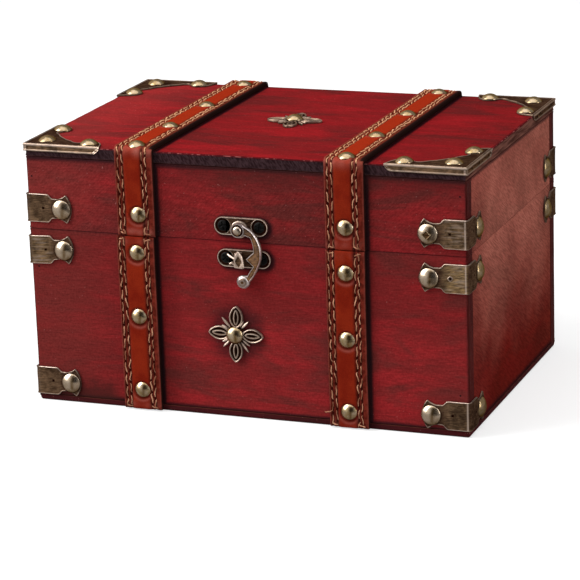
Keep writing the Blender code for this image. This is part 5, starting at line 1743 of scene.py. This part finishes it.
def make_hinge(hand, bronze_material, screw_material):
    pin_low, pin_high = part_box(f"hinge_{hand}_pin")
    lower_low, lower_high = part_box(f"hinge_{hand}_lower_leaf")
    half = (lower_high.x - lower_low.x) / 2
    third = 2 * half / 3
    axis_y = HALF_Y + GAP + BARREL_RADIUS
    near = BARREL_RADIUS + GAP
    along_x = Matrix.Rotation(math.pi / 2, 4, "Y")
    for level, body, up in (("lower", "body", -1), ("upper", "lid", 1)):
        node = f"hinge_{hand}_{level}_leaf"
        centre = sum(corner.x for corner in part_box(node)) / 2
        shape = Shape("rim", "hollow")
        matrix = raised(on_back(centre, SEAM), GAP)
        plate(shape, leaf_outline(half, up), (
            (0.0, 0.55 * MM, 0.6, 0), (0.2 * MM, LEAF_THICKNESS, 1, 0), (0.5 * MM, LEAF_THICKNESS, 0.5, 0),
            (0.8 * MM, 0.76 * MM, 0, 0),
        ), matrix)
        spans = [(-third / 2, third / 2)] if up > 0 else [(-half, -third / 2), (third / 2, half)]
        for start, end in spans:
            knuckle_half = (end - start - GAP) / 2
            knuckle = Matrix.Translation((centre + (start + end) / 2, axis_y, SEAM)) @ along_x
            profile = [(BORE_RADIUS, knuckle_half), (1.9 * MM, knuckle_half)]
            profile += [(BARREL_RADIUS, knuckle_half - 0.3 * MM)]
            profile += [(radius, -height) for radius, height in reversed(profile)]
            turned(shape, profile, 32, knuckle, rim=(0.2, 0.9, 0.9, 0.9, 0.9, 0.2))
            left, right, high = -start - GAP / 2, -end + GAP / 2, up * (near + 0.6 * MM)
            tab = [(left, 0), (right, 0), (right, high), (left, high)]
            plate(shape, tab if up < 0 else tab[::-1], ((0.0, 0.7 * MM, 0.2, 0),), matrix)
        if up > 0:
            lug = Matrix.Translation((centre, axis_y, SEAM)) @ Matrix.Rotation(LUG_TURN, 4, "X") @ along_x
            (start, end), side = LUG_REACH, LUG_HALF_WIDTH
            block = [(-side, start), (side, start), (side, end), (-side, end)]
            wide = third / 2 - GAP
            plate(shape, block, ((0.0, wide - 0.2 * MM, 0.6, 0), (0.15 * MM, wide, 1, 0)), lug, floor=-wide)
        shape.piece(f"hinge_{hand}_{level}", bronze_material, body, (node,), "bronze", sharp=40)
        height = SEAM + up * (near + LEAF_REACH) / 2
        spots = [on_back(centre + sign * HINGE_SCREW_REACH, height) for sign in (-1, 1)]
        nodes = [f"hinge_{hand}_{level}_screw_{end}" for end in ("a", "b")]
        make_screws(
            f"hinge_{hand}_{level}_screws", spots, GAP + 0.65 * MM, HINGE_SCREW_RADIUS, (0, 1.5),
            screw_material, body, nodes, cross=False,
        )
    pin = Shape("rim", "hollow")
    end = (pin_high.x - pin_low.x) / 2
    profile = [
        (ON_AXIS, end), (0.8 * MM, end - 0.05 * MM), (1.5 * MM, end - 0.35 * MM), (1.7 * MM, end - 0.8 * MM),
        (1.1 * MM, end - 0.8 * MM),
    ]
    profile += [(radius, -height) for radius, height in reversed(profile)]
    matrix = Matrix.Translation((pin_low + pin_high) / 2) @ along_x
    turned(pin, profile, 28, matrix, rim=(0.5, 0.8, 1, 0.6, 0, 0, 0.6, 1, 0.8, 0.5))
    node = f"hinge_{hand}_pin"
    pin.piece(f"{node}_visible", bronze_material, "body", (node,), "bronze", sharp=40)


# Putting it together


def make_straps(leather_material, thread_material, tack_frames):
    threads = {"body": Shape(), "lid": Shape()}
    seat = GAP + STRAP_THICKNESS - TACK_PRESS
    drop = SEAM + (TOP - SEAM) * LID_TACK_SHARE
    front_leg = TOP + GAP + STRAP_THICKNESS - STRAP_FOLD - SEAM
    bend = STRAP_FOLD * math.pi / 2
    flat = HALF_Y + GAP + STRAP_THICKNESS - STRAP_FOLD
    total = 2 * front_leg + 2 * bend + 2 * flat
    for seed, side in enumerate(("left", "right")):
        lid_shift, body_shift = TACK_SHIFTS[side]
        on_top_places = [2 * HALF_Y * (share - 0.5) for share in TOP_TACK_SHARES[side]]
        tacks = [(drop - SEAM, lid_shift)]
        tacks += [(front_leg + bend + flat + y, 0.0) for y in on_top_places]
        tacks += [(total - (drop - SEAM), 0.0)]
        node = f"lid_strap_{side}"
        make_strap(f"strap_lid_{side}", "lid", node, tacks, seed + 1, leather_material, threads)
        x = sum(corner.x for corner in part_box(node)) / 2
        frames = [on_front(x + lid_shift, drop), on_back(x, drop), *(on_top(x, y) for y in on_top_places)]
        frames[2] = raised(frames[2] @ Matrix.Rotation(math.radians(4), 4, "X"), 0.1 * MM)
        rises = [TACK_RISE] * 2 + [TOP_TACK_RISE] * 4
        tack_frames["lid"] += [(matrix, seat, TACK_RADIUS, rise) for matrix, rise in zip(frames, rises)]
        for face, place in (("front", on_front), ("back", on_back)):
            node = f"body_{face}_strap_{side}"
            low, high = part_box(node)
            full = SEAM - STRAP_TOP_CLEAR - low.z
            heights = [low.z + full * share for share in BODY_TACK_SHARES[side]]
            shifts = (body_shift if face == "front" else 0.0, 0.0, 0.0)
            travels = [z - low.z if face == "front" else high.z - z for z in heights]
            tacks = list(zip(travels, shifts))
            make_strap(f"strap_body_{face}_{side}", face, node, tacks, seed + 3, leather_material, threads)
            x = (low.x + high.x) / 2
            frames = [place(x + aside, z) for aside, z in zip(shifts, heights)]
            tack_frames["body"] += [(matrix, seat, TACK_RADIUS, TACK_RISE) for matrix in frames]
    start = Vector((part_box("body_front_strap_right")[0].x + 2 * MM, -HALF_Y - 3.1 * MM, 9.5 * MM))
    tube(threads["body"], [start + Vector(step) * MM for step in LOOSE_THREAD], 0.3 * MM)
    for body, shape in threads.items():
        shape.piece(f"strap_stitching_{body}", thread_material, body, slot="leather", sharp=None)


def make_brackets(material, tack_frames):
    reach = BRACKET_EDGE + BRACKET_HEIGHT / 2
    seat = GAP + BRACKET_THICKNESS - TACK_SINK
    seed = 0
    front, back = (-1, "front"), (1, "back")
    hands = ((-1, "left"), (1, "right"))
    for level, body, middle, ends in (
        ("lid", "lid", SEAM + reach, (front, back)), ("body_upper", "body", SEAM - reach, (front, back)),
        ("body_lower", "body", reach, (front,)),
    ):
        for facing, end in ends:
            for side, hand in hands:
                seed += 1
                name, node = f"bracket_{level}_{end}_{hand}", f"{level}_bracket_{end}_{hand}"
                for matrix in make_bracket(name, node, side, facing, middle, body, material, seed):
                    tack_frames[body].append((matrix, seat, BRACKET_TACK_RADIUS, BRACKET_TACK_RISE))
    seat = GAP + CORNER_THICKNESS - TACK_SINK
    seed = 12
    for facing, end in (front, back):
        for side, hand in hands:
            seed += 1
            name, node = f"corner_{end}_{hand}", f"lid_corner_{end}_{hand}"
            for matrix in make_corner_piece(name, node, side, facing, material, seed):
                tack_frames["lid"].append((matrix, seat, CORNER_TACK_RADIUS, TOP_TACK_RISE))


def make_rosettes(material, brass):
    front = on_front(*rosette_place())
    make_rosette("rosette_front", "front_rosette", front, math.radians(-2), "body", material)
    make_rosette("rosette_top", "top_rosette", on_top(0, 0), math.radians(4), "lid", material, shine=0.45)
    shifted = front @ Matrix.Translation((*ROSETTE_TACK_SHIFT, 0))
    for name, matrix, body in (("front", shifted, "body"), ("top", on_top(0, 0), "lid")):
        tack = Shape("rim", "hollow", "low", "silver")
        dome(tack, matrix, 2, GAP + ROSETTE_HEIGHT + 0.2 * MM)
        tack.piece(f"rosette_{name}_tack", brass, body, (f"{name}_rosette_tack",), "tack", sharp=50)


def make_tacks(tack_frames, brass):
    """The tacks of straps, brackets and corner pieces. One on the lid has a raised square."""
    facet_x = HALF_X + GAP - FRONT_LEG * BRACKET_TACK_SHARES[1][0]
    facet_place = Vector((facet_x, -HALF_Y, SEAM + BRACKET_EDGE + BRACKET_HEIGHT / 2))
    for body, frames in tack_frames.items():
        shape = Shape("rim", "hollow", "low", "silver")
        for seed, (matrix, seat, radius, rise) in enumerate(frames):
            facet = body == "lid" and (matrix.translation - facet_place).length < 3 * MM
            dome(shape, matrix, seed, seat, radius, rise, facet)
        shape.piece(f"tacks_{body}", brass, body, slot="tack", sharp=50)


# Studio


def look_at(obj, location, target, roll=0.0):
    back = (location - target).normalized()
    right = Vector((0, 0, 1)).cross(back).normalized()
    up = back.cross(right)
    turned_right = right * math.cos(roll) + up * math.sin(roll)
    turned_up = up * math.cos(roll) - right * math.sin(roll)
    matrix = Matrix((turned_right, turned_up, back)).transposed().to_4x4()
    matrix.translation = location
    obj.matrix_world = matrix


def direction(azimuth, elevation):
    """Towards a place round the chest: azimuth 0 is in front, and it grows to the right."""
    a, e = math.radians(azimuth), math.radians(elevation)
    return Vector((math.sin(a) * math.cos(e), -math.cos(a) * math.cos(e), math.sin(e)))


def lamp(name, azimuth, elevation, distance, size, power):
    data = bpy.data.lights.new(name, "AREA")
    data.shape = "RECTANGLE"
    data.size, data.size_y = size
    data.energy = power
    obj = bpy.data.objects.new(name, data)
    bpy.context.scene.collection.objects.link(obj)
    centre = Vector((0, 0, TOP / 2))
    look_at(obj, centre + direction(azimuth, elevation) * distance, centre)


def make_floor():
    """White to the camera. Shiny surfaces see it dim on one side of the chest."""
    s = Shader("white_floor")
    path = s.add("ShaderNodeLightPath").outputs
    shiny = s.most(path["Is Glossy Ray"], path["Is Transmission Ray"])
    place = s.split(s.place)
    toward = direction(FLOOR_DIM_SIDE, 0)
    ahead = s.total(s.times(place[0], toward.x), s.times(place[1], toward.y))
    away = s.span(place[0], place[1])
    beside = s.math("DIVIDE", ahead, away)
    dim = s.times(s.ramp(beside, *FLOOR_DIM_COSINES), s.ramp(away, 130 * MM, 200 * MM))
    dim = s.times(s.most(dim, 0.55), shiny)
    s.set(base_color=s.mix(dim, FLOOR_COLOUR, FLOOR_DIM_COLOUR), roughness=0.9, specular_ior_level=0.0)
    seen = s.most(path["Is Camera Ray"], s.times(shiny, s.minus(1.0, dim), 0.22))
    glow = s.fill(s.add("ShaderNodeEmission"), ((1, 1, 1), s.times(seen, 0.62)))
    both = s.fill(s.add("ShaderNodeAddShader"), (s.surface.outputs[0], glow[0]))
    s.put(s.tree.nodes["Material Output"].inputs["Surface"], both[0])
    data = bpy.data.meshes.new("studio_floor")
    corners = [(x * FLOOR_REACH, y * FLOOR_REACH, 0) for x, y in ((-1, -1), (1, -1), (1, 1), (-1, 1))]
    data.from_pydata(corners, [], [(0, 1, 2, 3)])
    data.materials.append(s.material)
    floor = bpy.data.objects.new("studio_floor", data)
    bpy.context.scene.collection.objects.link(floor)


def make_world():
    """White to the camera. Shiny surfaces see it dim where the camera stands, and bright on the left."""
    world = bpy.data.worlds.new("studio")
    world.use_nodes = True
    bpy.context.scene.world = world
    world.node_tree.nodes.clear()
    s = Nodes(world.node_tree)
    seen_from = s.add("ShaderNodeTexCoord").outputs["Generated"]
    rise = s.split(seen_from)[2]
    level = s.vector("MULTIPLY", seen_from, (1, 1, 0))[0]
    around = s.vector("NORMALIZE", level)[0]

    def towards(azimuth):
        return s.vector("DOT_PRODUCT", around, direction(azimuth, 0))["Value"]

    left = s.ramp(towards(-85), 0.1, 0.8, 0.5, 0.95)
    band = s.ramp(towards(DIM_SIDE), *DIM_COSINES, 1.0, 0.05)
    band = s.most(band, s.ramp(rise, 0.7, 0.95))
    glossy = s.times(left, band, s.ramp(rise, 0.35, 0.9, 1.0, 0.6))
    path = s.add("ShaderNodeLightPath").outputs
    shiny = s.most(path["Is Glossy Ray"], path["Is Transmission Ray"])
    seen = s.blend(path["Is Camera Ray"], s.blend(shiny, AMBIENT, glossy), 1.0)
    background = s.add("ShaderNodeBackground")
    s.put(background.inputs["Strength"], seen)
    s.put(s.add("ShaderNodeOutputWorld").inputs["Surface"], background.outputs[0])


def make_studio():
    make_floor()
    make_world()
    lamp("key", -60, 34, 2.0, (1.1, 1.7), 40)
    lamp("overhead", 0, 82, 1.8, (2.2, 2.0), 20)
    lamp("right_strip", 82, 18, 1.5, (0.3, 1.4), 7)
    data = bpy.data.cameras.new("camera")
    data.lens = CAMERA_LENS
    data.sensor_width = CAMERA_SENSOR
    data.clip_end = 60
    camera = bpy.data.objects.new("camera", data)
    bpy.context.scene.collection.objects.link(camera)
    place = CAMERA_TARGET + direction(CAMERA_YAW, CAMERA_PITCH) * CAMERA_DISTANCE
    look_at(camera, place, CAMERA_TARGET, CAMERA_ROLL)
    bpy.context.scene.camera = camera
    bpy.context.scene.view_settings.view_transform = "Standard"


def main():
    bronze_plate = bronze("bronze_plate", (0.080, 0.048, 0.029), (0.255, 0.154, 0.088), (0.94, 0.74, 0.61))
    bronze_hook = bronze("bronze_hook", (0.060, 0.026, 0.011), (0.310, 0.145, 0.050), (0.96, 0.88, 0.86))
    brass = tack_brass()
    screws = black_steel()
    make_boards()
    tack_frames = {"body": [], "lid": []}
    make_straps(leather(), thread(), tack_frames)
    make_brackets(bronze_plate, tack_frames)
    make_rosettes(bronze_plate, brass)
    make_latch(bronze_plate, bronze_hook, brass, screws)
    for hand in ("left", "right"):
        make_hinge(hand, bronze_plate, screws)
    make_tacks(tack_frames, brass)
    make_studio()


main()
